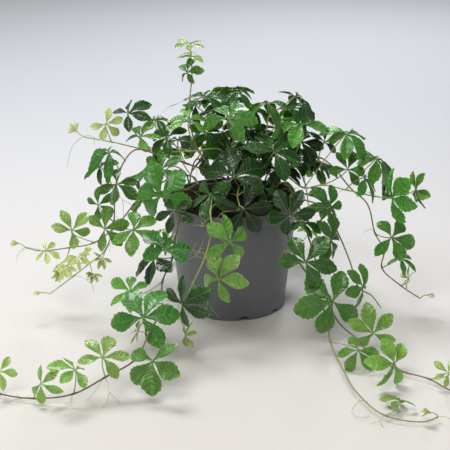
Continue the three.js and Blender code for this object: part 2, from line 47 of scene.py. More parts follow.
# short forms for node trees: a value, an added node and the tree itself

class Field:
    # one socket's value, so that sums of them read as plain arithmetic

    def __init__(self, tree, socket):
        self.tree, self.socket = tree, socket

    def __add__(self, other):
        return self.tree.calc("ADD", self, other)

    def __sub__(self, other):
        return self.tree.calc("SUBTRACT", self, other)

    def __rsub__(self, other):
        return self.tree.calc("SUBTRACT", other, self)

    def __mul__(self, other):
        return self.tree.calc("MULTIPLY", self, other)

    def __abs__(self):
        return self.tree.calc("ABSOLUTE", self)


class Added:
    # a node in place, read by its output's name or number; as an input it gives its first output

    def __init__(self, tree, node):
        self.tree, self.node = tree, node

    def __getitem__(self, key):
        return Field(self.tree, self.node.outputs[key])


class Tree:
    def __init__(self, tree):
        self.tree = tree

    def feed(self, node, values):
        for key, value in values.items():
            value = value[0] if isinstance(value, Added) else value
            if isinstance(value, Field):
                self.tree.links.new(value.socket, node.inputs[key])
            else:
                node.inputs[key].default_value = value

    def add(self, kind, inputs=None, **settings):
        node = self.tree.nodes.new(kind)
        for name, value in settings.items():
            setattr(node, name, value)
        self.feed(node, inputs or {})
        return Added(self, node)

    def geo(self, kind, inputs=None, **settings):
        return self.add("GeometryNode" + kind, inputs, **settings)

    def calc(self, operation, *values):
        return self.add("ShaderNodeMath", dict(enumerate(values)), operation=operation)[0]

    def ramp(self, value, low, high, lowValue=0.0, highValue=1.0):
        inputs = dict(enumerate((value, low, high, lowValue, highValue)))
        return self.add("ShaderNodeMapRange", inputs, interpolation_type="SMOOTHSTEP")[0]

    def blend(self, factor, first, second):
        return self.add("ShaderNodeMix", {0: factor, 6: first, 7: second}, data_type="RGBA")[2]

    def colourRamp(self, value, stops):
        made = self.add("ShaderNodeValToRGB", {0: value})
        elements = made.node.color_ramp.elements
        while len(elements) < len(stops):
            elements.new(0.5)
        for element, (place, colour) in zip(elements, stops):
            element.position, element.color = place, tone(colour)
        return made[0]

    def shifted(self, colour, **inputs):
        values = {name.capitalize(): value for name, value in inputs.items()}
        return self.add("ShaderNodeHueSaturation", {"Color": colour, **values})[0]

    def cloud(self, place, size, detail, roughness=0.5):
        return self.add("ShaderNodeTexNoise", {
            "Vector": place, "Scale": size, "Detail": detail, "Roughness": roughness})[0]

    def split(self, vector):
        return self.add("ShaderNodeSeparateXYZ", {0: vector})

    def place(self):
        return self.add("ShaderNodeTexCoord")["Object"]

    def read(self, name):
        # an attribute, in a shader
        return self.add("ShaderNodeAttribute", attribute_name=name)["Fac"]

    def readField(self, name, kind="FLOAT"):
        # an attribute, in geometry nodes
        return self.geo("InputNamedAttribute", {"Name": name}, data_type=kind)[0]

    def use(self, group, **inputs):
        values = {name.capitalize(): value for name, value in inputs.items()}
        return self.add("ShaderNodeGroup", values, node_tree=group.tree)

    def relief(self, shader, height, strength, depth):
        bump = self.add("ShaderNodeBump", {
            "Strength": strength, "Distance": depth, "Height": height})
        self.feed(shader, {"Normal": bump})


def tone(colour):
    # a screen colour of 0 to 255 as Blender's linear colour
    linear = [(c / 255 / 12.92) if c <= 10 else ((c / 255 + 0.055) / 1.055) ** 2.4 for c in colour]
    return (*linear, 1.0)


def newGroup(name, treeType, inputs, outputs):
    made = bpy.data.node_groups.new(name, treeType)
    for label, value in inputs.items():
        # a kind such as Geometry, or a value whose kind is plain from it
        kind = {tuple: "Color", float: "Float", int: "Int"}.get(type(value), value)
        socket = made.interface.new_socket(label, in_out="INPUT", socket_type="NodeSocket" + kind)
        if kind != value:
            socket.default_value = value
    for label, valueType in outputs.items():
        made.interface.new_socket(label, in_out="OUTPUT", socket_type="NodeSocket" + valueType)
    tree = Tree(made)
    return tree, tree.add("NodeGroupInput"), tree.add("NodeGroupOutput").node


def newMaterial(name):
    material = bpy.data.materials.new(name)
    material.use_nodes = True
    return material, Tree(material.node_tree), material.node_tree.nodes["Principled BSDF"]


# effects that several finishes share

def mottleGroup():
    # a colour that drifts lighter and darker in soft patches, with the patches as a value
    tree, given, result = newGroup(
        "mottle", "ShaderNodeTree",
        {"Color": (0.5, 0.5, 0.5, 1.0), "Size": 100.0, "Amount": 0.3},
        {"Color": "Color", "Patch": "Float"})
    patch = tree.ramp(tree.cloud(tree.place(), given["Size"], 4.0, 0.6), 0.3, 0.7)
    bright = (patch - 0.5) * given["Amount"] + 1.0
    tree.feed(result, {"Color": tree.shifted(given["Color"], value=bright), "Patch": patch})
    return tree


def grainGroup():
    # fine relief as a height
    tree, given, result = newGroup(
        "fineGrain", "ShaderNodeTree", {"Size": 1500.0, "Softness": 0.5}, {"Height": "Float"})
    tree.feed(result, {"Height": tree.cloud(tree.place(), given["Size"], 3.0, given["Softness"])})
    return tree


mottle = mottleGroup()
fineGrain = grainGroup()


# finishes

leafLook = {
    # screen colours of the upper face from the youngest leaf to the oldest
    "ages": [(0.0, (224, 236, 164)), (0.2, (196, 222, 124)), (0.45, (130, 184, 70)),
             (0.7, (74, 142, 34)), (0.9, (34, 94, 22)), (1.0, (14, 54, 12))],
    # the crest value is a painted sheen: how much lighter the crests between the veins are painted
    "under": (106, 140, 70), "rib": (166, 192, 112), "crestLift": 0.14,
    "hueDrift": 0.018, "darkest": 0.68, "spread": 0.7,
    "shine": 0.32, "roughness": 0.27, "underRoughness": 0.25, "coat": 0.45, "coatRoughness": 0.12,
    "glow": 0.3, "glowDepth": 0.0012, "glowTint": (0.5, 1.0, 0.2), "pillows": 2.2, "crests": 0.65,
    "relief": 0.85, "reliefDepth": 0.0006,
}


def leafFinish():
    # the UV's first value runs across the leaflet, its second counts the veins along it
    look = leafLook
    material, tree, shader = newMaterial("leafSkin")
    split = tree.split(tree.add("ShaderNodeUVMap", uv_map="UVMap"))
    side, run = split[0], split[1]
    under = tree.calc("GREATER_THAN", side, 1.5)
    across = abs(side - under * 2.0 - 0.5) * 2.0
    crest = tree.ramp(abs(tree.calc("FRACT", run) - 0.5), 0.06, 0.42)
    rib = tree.ramp(across, 0.02, 0.1, 1.0, 0.0)
    nearHub = tree.ramp(run, -2.0, 2.5, 1.0, 0.25)
    age, tint, drift = tree.read("age"), tree.read("tint"), look["hueDrift"]
    varied = tree.shifted(tree.colourRamp(age, look["ages"]), hue=tint * drift + (0.5 - drift / 2),
                          value=tint * look["spread"] + look["darkest"])
    patchy = tree.use(mottle, color=varied, size=160.0, amount=0.28)
    # the crests between the veins are painted lighter and paler, a painted sheen for the gloss
    # streaks there
    paintedSheen = tree.shifted(patchy["Color"], saturation=0.82, value=1.0 + look["crestLift"])
    blade = tree.blend(crest * 0.7, patchy["Color"], paintedSheen)
    ribbed = tree.blend(rib * nearHub * 0.8, blade, tone(look["rib"]))
    paler = (rib * 0.4 + 0.5) * tree.ramp(age, 0.1, 0.8, 0.2, 1.0)
    pale = tree.blend(paler, varied, tone(look["under"]))
    rough = patchy["Patch"] * 0.12 + look["roughness"] + under * look["underRoughness"]
    tree.feed(shader, {
        "Base Color": tree.blend(under, ribbed, pale), "Roughness": rough,
        "Coat Weight": (1.0 - under) * look["coat"], "Coat Roughness": look["coatRoughness"],
        "Specular IOR Level": look["shine"], "Subsurface Weight": look["glow"],
        "Subsurface Scale": look["glowDepth"], "Subsurface Radius": look["glowTint"]})
    pillows = tree.use(fineGrain, size=380.0, softness=0.55)["Height"]
    height = pillows * look["pillows"] + crest * look["crests"]
    tree.relief(shader, height, look["relief"], look["reliefDepth"])
    return material


stalkLook = {
    "ages": [(0.0, (192, 210, 136)), (0.35, (162, 176, 106)), (0.6, (136, 132, 86)),
             (0.8, (118, 98, 74)), (1.0, (74, 58, 46))],
    "roughness": 0.5, "relief": 0.3, "reliefDepth": 0.0003,
}


def stalkFinish():
    look = stalkLook
    material, tree, shader = newMaterial("stalkSkin")
    body = tree.colourRamp(tree.read("age"), look["ages"])
    patchy = tree.use(mottle, color=body, size=260.0, amount=0.35)
    rough = patchy["Patch"] * 0.15 + look["roughness"]
    tree.feed(shader, {"Base Color": patchy["Color"], "Roughness": rough})
    grain = tree.use(fineGrain, size=1800.0, softness=0.6)["Height"]
    tree.relief(shader, grain, look["relief"], look["reliefDepth"])
    return material


leafSkin = leafFinish()
stalkSkin = stalkFinish()


# meshes and objects

def addObject(name, data):
    made = bpy.data.objects.new(name, data)
    bpy.context.scene.collection.objects.link(made)
    return made


def plainMesh(mesh, name):
    made = bpy.data.meshes.new(name)
    mesh.to_mesh(made)
    mesh.free()
    return made


def lofted(name, rings):
    # a closed body from rings of points in millimetres, the first and the last ring a single point
    mesh = bmesh.new()
    layers = [[mesh.verts.new(Vector(place) * mm) for place in ring] for ring in rings]
    for low, high in zip(layers, layers[1:]):
        count = max(len(low), len(high))
        for k in range(count):
            n = (k + 1) % count
            corners = [row[j % len(row)] for row, j in ((low, k), (low, n), (high, n), (high, k))]
            mesh.faces.new(list(dict.fromkeys(corners)))
    bmesh.ops.recalc_face_normals(mesh, faces=mesh.faces)
    return addObject(name, plainMesh(mesh, name))


def ring(radius, height, segments):
    # a level circle of points, or only its middle where it has no radius
    if radius < 1e-6:
        return [(0, 0, height)]
    turns = [2 * math.pi * k / segments for k in range(segments)]
    return [(radius * math.cos(a), radius * math.sin(a), height) for a in turns]


# one leaflet, lying along +X with its base at the origin and one unit long

leafletShape = {
    "halfWidth": 0.265, "widestAt": 0.66, "teeth": 6, "firstTooth": 0.27, "toothDepth": 0.0125,
    "stalkRows": (0.0, 0.13), "stalkWidth": 0.016, "veinLean": 0.8,
    "columns": (-1.0, -0.5, 0.0, 0.5, 1.0),
    "fold": 0.42, "curl": 0.9, "quilt": 0.022, "groove": 0.012, "rib": 0.03,
}


def leafletWidth(along):
    shape = leafletShape
    power = math.log(0.5) / math.log(shape["widestAt"])
    swell = math.sin(math.pi * min(along, 1.0) ** power)
    return shape["halfWidth"] * max(swell, 0.0) ** (1.05 - 0.3 * along)


def leafletPattern():
    shape = leafletShape
    step = (1 - shape["firstTooth"]) / (2 * shape["teeth"])
    rows = [*shape["stalkRows"]]
    rows += [shape["firstTooth"] + step * k for k in range(2 * shape["teeth"])]
    columns = shape["columns"]
    mesh = bmesh.new()
    along = mesh.verts.layers.float.new("along")
    beside = mesh.verts.layers.float.new("beside")
    uv = mesh.loops.layers.uv.new("UVMap")
    tops, ribs, runs = [], [], []

    def point(x, y, z):
        vert = mesh.verts.new((x, y, z))
        vert[along], vert[beside] = x, y
        return vert

    for edge in rows:
        count = (edge - shape["firstTooth"]) / step
        toothed = count > 0.5
        vein = toothed and round(count) % 2 == 1
        width = leafletWidth(edge)
        middle = max(edge - shape["veinLean"] * width, 0.0)
        reach, push = width + shape["stalkWidth"] * (1 - edge), 0.0
        if toothed:
            push = shape["toothDepth"] * (1 if vein else -1) * min(1.0, width / 0.12)
        row = []
        for s in columns:
            x = middle + (edge - middle) * abs(s) + 0.5 * push * abs(s) ** 3
            y = reach * s + push * math.copysign(abs(s) ** 3, s)
            z = shape["fold"] * abs(y) - shape["curl"] * y * y
            if s == 0:
                z -= shape["groove"] * min(1.0, width / 0.05)
            elif toothed and not vein:
                z += shape["quilt"] * math.sin(math.pi * abs(s))
            row.append(point(x, y, z))
        even = len(tops) % 2 == 0
        ribs.append(point(middle, 0, -shape["rib"] * (1 - 0.7 * middle)) if even else None)
        tops.append(row)
        runs.append(count / 2)
    tip = point(1.0, 0, 0)

    def skin(corners):
        # one smooth face from pairs of a point and its place in the UV map
        corners = dict(corners)
        face = mesh.faces.new(list(corners))
        face.smooth = True
        for loop, place in zip(face.loops, corners.values()):
            loop[uv].uv = place

    last = len(rows) - 1
    sideOf = [0.5 + 0.5 * s for s in columns]
    tipRow, tipRun = [tip] * len(columns), float(shape["teeth"])
    for i in range(last + 1):
        a, ra = tops[i], runs[i]
        b, rb = (tops[i + 1], runs[i + 1]) if i < last else (tipRow, tipRun)
        for k in range(len(columns) - 1):
            p, q = sideOf[k], sideOf[k + 1]
            if i < last:
                skin(((a[k], (p, ra)), (b[k], (p, rb)), (b[k + 1], (q, rb)), (a[k + 1], (q, ra))))
            else:
                skin(((a[k], (p, ra)), (tip, (p, rb)), (a[k + 1], (q, ra))))
    # the underside, in longer faces from rib to edge; its UVs are the upper side's plus two
    for i in range(0, last, 2):
        a, b = tops[i], tops[i + 1]
        c, end = (tops[i + 2], ribs[i + 2]) if i + 2 <= last else (tipRow, tip)
        ra, rb, rc = runs[i], runs[i + 1], runs[i + 1] + 0.5
        skin(((a[0], (2, ra)), (ribs[i], (2.5, ra)), (end, (2.5, rc)),
              (c[0], (2, rc)), (b[0], (2, rb))))
        skin(((ribs[i], (2.5, ra)), (a[-1], (3, ra)), (b[-1], (3, rb)),
              (c[-1], (3, rc)), (end, (2.5, rc))))
    skin((vert, (2.5, runs[0])) for vert in (*tops[0], ribs[0]))
    rim = {frozenset((x[j], y[j])) for x, y in zip(tops, [*tops[1:], tipRow]) for j in (0, -1)}
    for edge in mesh.edges:
        edge.smooth = frozenset(edge.verts) not in rim
    return addObject("leafletPattern", plainMesh(mesh, "leafletPattern"))


# the tree that turns a skeleton of points and lines into leaflets and stalks

def growTree():
    tree, given, result = newGroup(
        "growVine", "GeometryNodeTree",
        {"Skeleton": "Geometry", "Leaflet": "Object", "Leaf Skin": "Material",
         "Stalk Skin": "Material", "Stalk Sides": 8, "Wave": 0.04, "Wave Length": 0.012,
         "Edge Wave": 0.3, "Edge Wave Length": 0.005, "Lowest": 0.0},
        {"Plant": "Geometry"})
    parts = tree.geo("SeparateGeometry", {
        "Geometry": given["Skeleton"], "Selection": tree.readField("leaflet", "BOOLEAN")},
        domain="POINT")
    pattern = tree.geo("ObjectInfo", {"Object": given["Leaflet"]})
    leaflets = tree.geo("InstanceOnPoints", {
        "Points": parts["Selection"], "Instance": pattern["Geometry"],
        "Rotation": tree.readField("turn", "FLOAT_VECTOR"),
        "Scale": tree.readField("size", "FLOAT_VECTOR")})
    lines = tree.geo("MeshToCurve", {0: parts["Inverted"]})
    section = tree.geo("CurvePrimitiveCircle", {"Resolution": given["Stalk Sides"], "Radius": 1.0})
    stalks = tree.geo("CurveToMesh", {
        "Curve": lines, "Profile Curve": section, "Scale": tree.readField("radius"),
        "Fill Caps": True})
    smooth = tree.geo("SetShadeSmooth", {"Geometry": stalks})
    barked = tree.geo("SetMaterial", {"Geometry": smooth, "Material": given["Stalk Skin"]})
    joined = tree.geo("JoinGeometry")
    for part in (leaflets, barked):
        tree.feed(joined.node, {0: part})
    real = tree.geo("RealizeInstances", {0: joined})
    # a leaflet bends down towards its tip, twists, and waves, most of all at its edges
    along, beside = tree.readField("along"), tree.readField("beside")
    where = tree.geo("InputPosition")
    rise = along * beside * tree.readField("twist") - along * along * tree.readField("arch")
    for length, share in ((given["Wave Length"], along * given["Wave"]),
                          (given["Edge Wave Length"], abs(beside) * given["Edge Wave"])):
        wave = tree.cloud(where, tree.calc("DIVIDE", 1.0, length), 1.0)
        rise = rise + (wave - 0.5) * 2.0 * share
    offset = tree.add("ShaderNodeVectorMath", {
        0: tree.readField("face", "FLOAT_VECTOR"), 3: rise * tree.readField("long")},
        operation="SCALE")
    bent = tree.geo("SetPosition", {"Geometry": real, "Offset": offset})
    # what reaches the floor lies on it
    place = tree.split(where)
    landed = tree.add("ShaderNodeCombineXYZ", {
        0: place[0], 1: place[1], 2: tree.calc("MAXIMUM", place[2], given["Lowest"])})
    resting = tree.geo("SetPosition", {"Geometry": bent, "Position": landed})
    skinned = tree.geo("SetMaterial", {
        "Geometry": resting, "Selection": tree.readField("leaflet", "BOOLEAN"),
        "Material": given["Leaf Skin"]})
    tree.feed(result, {"Plant": skinned})
    return tree


def runTree(piece, tree, values):
    # runs a tree on the piece and keeps the result as its plain mesh
    modifier = piece.modifiers.new("grow", "NODES")
    modifier.node_group = tree.tree
    sockets = {item.name: item.identifier for item in tree.tree.interface.items_tree
               if item.in_out == "INPUT"}
    for name, value in values.items():
        modifier[sockets[name]] = value
    graph = bpy.context.evaluated_depsgraph_get()
    made = bpy.data.meshes.new_from_object(
        piece.evaluated_get(graph), preserve_all_data_layers=True, depsgraph=graph)
    piece.modifiers.remove(modifier)
    old, piece.data = piece.data, made
    bpy.data.meshes.remove(old)
    made.name = piece.name


# where the stems run and how their leaves sit, in millimetres and degrees
# a leaf: x, y, z of its hub, length, side, lift, turn, place on the stem, age, and arch if unusual
# side is its bearing from the front to the right, lift the angle of its face above level, and turn
# swings the middle leaflet from straight down the slope

stems = {
    "top_shoot": {"root": (-14, 6), "bark": (0.7, 0.1), "path": [
        (-16, 8, 120), (-31, 10, 142), (-38, 8, 168), (-38, 6, 188), (-36, 7, 206), (-36, 8, 224),
        (-37, 8, 233),
    ], "leaves": [
        (-37, 2, 240, 16, 10, 78, -10, 6, 0.3, 0.1), (-36, 0, 229, 13, 40, 82, -80, 5, 0.35),
        (-40, -2, 215, 17, -60, 30, -170, 4, 0.72), (-25, 12, 190, 25, 10, 74, 170, 3, 0.9, 0.8),
        (-39, -10, 174, 23, 10, 64, 175, 1, 0.58, 0.5),
    ]},
    "left_high": {"root": (-4, 18), "bark": (0.6, 0.1), "path": [
        (-4, 14, 125), (-12, 0, 145), (-38, -6, 145), (-73, 4, 143), (-107, -4, 153),
        (-131, -6, 158),
    ], "leaves": [
        (-69, 16, 168, 20, -40, 74, -170, 2, 0.85, 0.7),
        (-81, -10, 160, 20, -35, 50, 170, 2.6, 0.6), (-92, 0, 178, 21, -30, 45, 145, 3, 0.9, 0.3),
        (-111, -6, 170, 17, 10, 5, 45, 4, 0.1), (-137, -6, 163, 9, -30, 40, -120, 5, 0.0),
    ], "tendrils": [
        [(-133, -6, 158), (-141, -7, 150), (-145, -8, 138), (-147, -8, 130)],
    ]},
    "left_low": {"root": (-12, -4), "bark": (1.0, 0.1), "path": [
        (-16, -6, 122), (-42, -12, 136), (-65, -20, 146), (-85, -26, 152), (-98, -34, 136),
        (-102, -44, 117), (-103, -50, 94), (-111, -52, 69), (-125, -50, 56), (-140, -48, 43),
        (-162, -45, 25),
    ], "leaves": [
        (-57, -9, 159, 21, -30, 50, -100, 1, 0.9), (-107, -38, 153, 21, -5, 72, -105, 4, 0.82, 0.8),
        (-115, -32, 139, 19, -60, 66, -70, 5, 0.85, 0.35), (-99, -54, 130, 21, 10, 40, 50, 5, 0.8),
        (-117, -42, 107, 17, -15, 15, 125, 6, 0.75), (-110, -62, 92, 22, 0, 30, 110, 6, 0.55),
        (-85, -64, 92, 26, 5, 50, 60, 6, 0.6), (-134, -54, 63, 12, -20, 30, 20, 8, 0.15),
        (-122, -60, 50, 10, 20, 30, -20, 8, 0.15), (-145, -52, 54, 12, -35, 25, 40, 8, 0.1),
        (-113, -58, 64, 11, 10, 35, -30, 7, 0.15), (-130, -50, 66, 10, -10, 50, 60, 8, 0.1),
        (-152, -46, 44, 10, 15, 40, -30, 9, 0.05), (-169, -45, 26, 8, -60, 40, 10, 10, 0.05),
    ]},
    "left_tip": {"root": (-30, 8), "bark": (0.7, 0.5), "path": [
        (-36, 6, 118), (-58, 2, 116), (-83, -4, 101), (-103, -10, 78), (-124, -14, 62),
        (-146, -16, 58), (-173, -16, 55), (-186, -16, 58),
    ], "leaves": [
        (-143, -20, 76, 21, 15, 15, 135, 4, 0.35), (-153, -24, 46, 17, -70, 50, 85, 5, 0.15),
        (-167, -24, 58, 14, 15, 50, 60, 6, 0.1), (-191, -17, 62, 8, -50, 40, -30, 7, 0.0),
    ], "tendrils": [
        [(-187, -16, 58), (-192, -16, 53), (-195, -16, 44)],
    ]},
    "front_left": {"root": (-26, -28), "bark": (0.85, 0.8), "path": [
        (-32, -34, 109), (-43, -55, 103), (-48, -78, 95), (-51, -92, 77), (-59, -106, 61),
        (-59, -128, 47), (-68, -160, 37), (-78, -188, 27), (-100, -202, 19), (-124, -213, 10),
        (-156, -209, 4), (-184, -199, 3), (-203, -186, 2), (-220, -172, 4),
    ], "leaves": [
        (-50, -66, 110, 20, -20, 30, 0, 1, 0.95), (-56, -104, 89, 26, 30, 60, 150, 2, 0.85),
        (-66, -86, 75, 27, -55, 50, -35, 3, 1.0), (-87, -96, 48, 21, -5, 50, -115, 4, 0.62),
        (-73, -150, 47, 32, -5, 40, 155, 6, 0.8), (-77, -154, 37, 13, -75, 25, -60, 6, 0.15),
        (-63, -200, 32, 28, -35, 30, 20, 7, 0.66), (-102, -198, 34, 24, 10, 55, 150, 8, 0.4),
        (-122, -214, 31, 20, 60, 60, -145, 9, 0.45), (-149, -212, 18, 17, -20, 15, 75, 10, 0.4),
        (-183, -200, 23, 17, 30, 25, 10, 11, 0.3), (-206, -190, 17, 12, -30, 45, -60, 12, 0.15),
        (-224, -170, 10, 8, -80, 40, 0, 13, 0.05),
    ], "tendrils": [
        [(-102, -203, 18), (-108, -209, 10), (-114, -213, 4)],
    ]},
    "front_mid": {"root": (-10, -34), "bark": (0.45, 0.2), "path": [
        (-11, -40, 109), (-19, -64, 110), (-18, -82, 100), (-23, -92, 79), (-34, -102, 57),
        (-41, -108, 42), (-44, -112, 29),
    ], "leaves": [
        (-19, -52, 120, 23, -20, 40, 0, 1, 0.9), (-3, -92, 91, 25, 30, 20, 165, 2, 0.58),
        (-12, -106, 63, 26, -35, 25, 155, 3, 0.5), (-42, -124, 48, 26, -35, 5, 130, 4, 0.95),
        (-40, -114, 16, 14, -60, 20, 120, 6, 0.25),
    ], "tendrils": [
        [(-24, -93, 76), (-31, -98, 81), (-33, -100, 86), (-33, -101, 90), (-30, -101, 94)],
        [(-31, -98, 81), (-27, -99, 89), (-24, -99, 96)],
        [(-31, -98, 81), (-36, -99, 79), (-40, -100, 77), (-45, -100, 76)],
        [(-34, -102, 57), (-24, -112, 50), (-21, -112, 45), (-17, -113, 38), (-11, -113, 31)],
        [(-21, -112, 45), (-22, -112, 39), (-21, -112, 33), (-19, -110, 25)],
        [(15, -40, 104), (5, -60, 108), (-9, -80, 113), (-12, -83, 111), (-18, -82, 101)],
    ]},
    "crown_left": {"root": (-24, -10), "bark": (0.75, 0.3), "path": [
        (-30, -14, 117), (-41, -30, 117), (-53, -42, 121),
    ], "leaves": [
        (-62, -52, 118, 31, -20, 10, -160, 2, 0.8), (-62, -32, 137, 20, -10, 30, 180, 1, 0.8),
        (-49, 14, 150, 22, -20, 74, 180, 0, 0.95, 0.7),
    ]},
    "crown_front": {"root": (4, -22), "bark": (0.75, 0.3), "path": [
        (6, -28, 120), (4, -44, 116), (6, -58, 111),
    ], "leaves": [
        (1, -42, 133, 34, -10, 45, -165, 0, 0.95), (9, -67, 112, 25, 0, 12, 30, 2, 1.0, 0.4),
        (26, -44, 124, 15, 25, 10, 0, 1, 0.95, 0.4),
    ]},
    "crown_mid": {"root": (4, 4), "bark": (0.7, 0.3), "path": [
        (4, 2, 122), (3, -4, 136), (1, 0, 154), (3, 4, 173), (5, 8, 184),
    ], "leaves": [
        (-4, -16, 178, 27, -15, 52, 160, 2, 0.75, 0.45), (4, 27, 190, 18, -10, 80, 0, 4, 0.9, 0.8),
        (-33, 22, 180, 20, -40, 68, -95, 3, 0.9, 0.7), (-22, 22, 154, 22, 0, 20, 10, 1, 0.7),
        (-9, 14, 157, 16, 10, 40, 20, 1, 0.9), (12, 22, 158, 19, 0, 40, 0, 2, 1.0),
        (20, 16, 176, 18, 20, 72, 60, 3, 0.9, 0.7),
    ]},
    "crown_right": {"root": (20, 6), "bark": (0.7, 0.3), "path": [
        (22, 4, 122), (32, 0, 135), (30, 2, 159), (33, 6, 175), (42, 10, 180),
    ], "leaves": [
        (36, -26, 150, 31, 30, 50, 120, 1, 0.9), (31, 3, 186, 24, 0, 76, 165, 3, 0.8, 0.8),
        (53, 12, 180, 21, -55, 80, -160, 4, 0.8, 0.8),
    ]},
    "crown_back": {"root": (30, 18), "bark": (0.75, 0.4), "path": [
        (36, 18, 122), (51, 6, 127), (57, 5, 142),
    ], "leaves": [
        (43, 16, 151, 22, 10, 50, 170, 1, 1.0), (61, -2, 168, 30, 10, 74, -160, 2, 0.72, 0.6),
        (62, 18, 147, 24, 20, 45, 10, 2, 1.0),
    ]},
    "right_high": {"root": (32, 8), "bark": (0.3, 0.15), "path": [
        (44, 4, 121), (64, -6, 111), (80, -10, 115), (100, -18, 113), (125, -24, 109),
        (145, -28, 108),
    ], "leaves": [
        (100, -5, 161, 26, 35, 66, 90, 1, 0.75, 0.75),
        (101, -18, 132, 20, 10, 30, 150, 2, 0.8, 0.45),
        (127, -12, 140, 27, 55, 62, 70, 3, 0.72, 0.8), (116, -24, 126, 22, 80, 40, -20, 3, 0.75),
        (139, -34, 111, 28, -65, 0, 145, 4, 0.7), (160, -30, 117, 20, -75, 0, 90, 5, 0.6),
    ]},
    "right_main": {"root": (24, 22), "bark": (0.3, 0.65), "path": [
        (40, 22, 121), (61, 18, 125), (77, 12, 134), (89, 6, 128), (106, 2, 108), (121, -4, 95),
        (128, -12, 70), (136, -18, 56), (134, -22, 41), (151, -28, 26), (168, -34, 16),
    ], "leaves": [
        (61, 14, 131, 26, 90, 65, 40, 1, 1.0), (83, 20, 146, 18, 30, 30, 160, 2, 0.95),
        (141, -28, 72, 25, 15, 40, 70, 6, 0.75), (149, -30, 53, 17, 60, 75, 15, 8, 0.7),
        (157, -32, 34, 13, -75, 20, -95, 9, 0.15), (173, -36, 20, 8, 50, 40, 0, 10, 0.0),
    ]},
    "right_low": {"root": (36, -6), "bark": (0.8, 0.5), "path": [
        (48, -10, 117), (59, -28, 109), (76, -42, 106), (89, -52, 89), (101, -62, 63),
        (109, -70, 41), (120, -74, 35), (128, -78, 25),
    ], "leaves": [
        (82, -60, 111, 21, 40, 5, -155, 2, 0.85), (84, -68, 84, 25, 55, 5, 90, 3, 0.75),
        (111, -84, 47, 23, 62, 12, -150, 5, 0.7),
    ]},
    "floor_front": {"root": (28, -26), "bark": (0.85, 0.4), "path": [
        (36, -34, 116), (41, -56, 112), (45, -68, 95), (52, -74, 74), (69, -82, 49), (79, -104, 27),
        (81, -126, 15), (89, -175, 10), (95, -200, 7), (115, -238, 4), (143, -246, 3),
        (155, -240, 4),
    ], "leaves": [
        (48, -80, 110, 25, -15, 5, -140, 1, 0.95), (61, -94, 74, 28, -5, 25, 145, 3, 0.85),
        (84, -104, 42, 32, 5, 20, -75, 4, 0.74), (102, -150, 18, 20, -20, 45, -20, 6, 0.62),
        (127, -224, 10, 16, 90, 75, 120, 9, 0.4), (149, -243, 9, 9, -80, 40, 5, 11, 0.1),
    ], "tendrils": [
        [(55, -75, 69), (48, -67, 72), (43, -68, 75)],
        [(103, -218, 6), (96, -226, 10), (90, -232, 4), (97, -238, 2), (104, -233, 1.5)],
        [(152, -241, 4), (160, -244, 6), (167, -247, 3), (171, -249, 1.2)],
    ]},
    "floor_right": {"root": (38, -16), "bark": (0.85, 0.65), "path": [
        (48, -24, 116), (57, -44, 107), (64, -56, 87), (72, -62, 62), (81, -72, 32), (91, -88, 16),
        (105, -112, 11), (112, -130, 8), (135, -158, 4), (157, -174, 4), (171, -192, 3),
        (188, -200, 2), (204, -204, 3),
    ], "leaves": [
        (59, -60, 98, 19, 50, 65, 40, 1, 0.9), (115, -136, 27, 24, -10, 5, -170, 6, 0.5),
        (128, -180, 20, 24, 35, 15, -105, 8, 0.45), (170, -186, 15, 14, -15, 30, -125, 9, 0.3),
        (190, -206, 14, 13, 20, 50, 30, 11, 0.2), (208, -205, 8, 8, 70, 40, 0, 12, 0.05),
    ]},
}


# stems at the back, by rule: each leans out at its own bearing and hangs down the pot

backLook = {
    # the places that carry leaves, by the stem's bearing
    "stems": {34: (1, 2, 3), 62: (1, 3, 4, 5, 7), 90: (1, 3, 4, 5, 7), 118: (1, 3, 4, 5, 7),
              150: (1, 2, 3)},
    "fall": [(50, 116), (66, 119), (77, 103), (84, 72), (90, 40), (102, 10), (122, 3), (146, 3)],
    "besidePot": 77, "rootRing": 45, "sway": (-5, 5), "reach": (0.9, 1.15),
    "out": (10, 15), "beside": (6, 10), "above": (8, 13), "low": 20, "raised": 6,
    "long": (21, 26), "lift": (32, 57), "turn": (-15, 15), "tipLong": 14, "tipAge": 0.35,
}
rearLook = {
    "root": (2, 28), "path": [(2, 32, 122), (-2, 36, 142), (4, 38, 160), (0, 40, 174)],
    "bearings": (20, 160, 60, 120, 35, 145, 90), "away": (26, 31), "above": (8, 14),
    "long": (22, 26), "turn": (-20, 20),
}
drawSeed = [4271]


def draw(limits):
    low, high = limits
    drawSeed[0] = (drawSeed[0] * 16807) % 2147483647
    return low + (high - low) * drawSeed[0] / 2147483647


def heading(bearing):
    a = math.radians(bearing)
    return Vector((math.cos(a), math.sin(a), 0))


def mix(first, second, share):
    return first + (second - first) * share


def backVine(bearing, leafNodes):
    look = backLook
    out = heading(bearing)
    beside = Vector((-out.y, out.x, 0))
    sway, reach = draw(look["sway"]), draw(look["reach"])
    path, leaves = [], []
    for i, (r, z) in enumerate(look["fall"][:leafNodes[-1] + 1]):
        far = min(r, look["besidePot"]) + max(r - look["besidePot"], 0) * reach
        place = out * far + beside * (sway * math.sin(0.8 * i))
        path.append((place.x, place.y, z))
    for k, node in enumerate(leafNodes):
        hand, atTip = 1 if k % 2 else -1, node == 7
        at = Vector(path[node]) + out * draw(look["out"])
        at += beside * (hand * draw(look["beside"]))
        at.z += draw(look["above"]) + (look["raised"] if path[node][2] < look["low"] else 0)
        long = look["tipLong"] if atTip else draw(look["long"])
        lift = draw(look["lift"])
        turn = -40 * hand + draw(look["turn"])
        age = look["tipAge"] if atTip else 0.95 - 0.09 * k
        leaves.append((*at, long, 90 + bearing + hand * 14, lift, turn, node, age))
    return {"root": tuple(out * look["rootRing"])[:2], "path": path, "leaves": leaves}


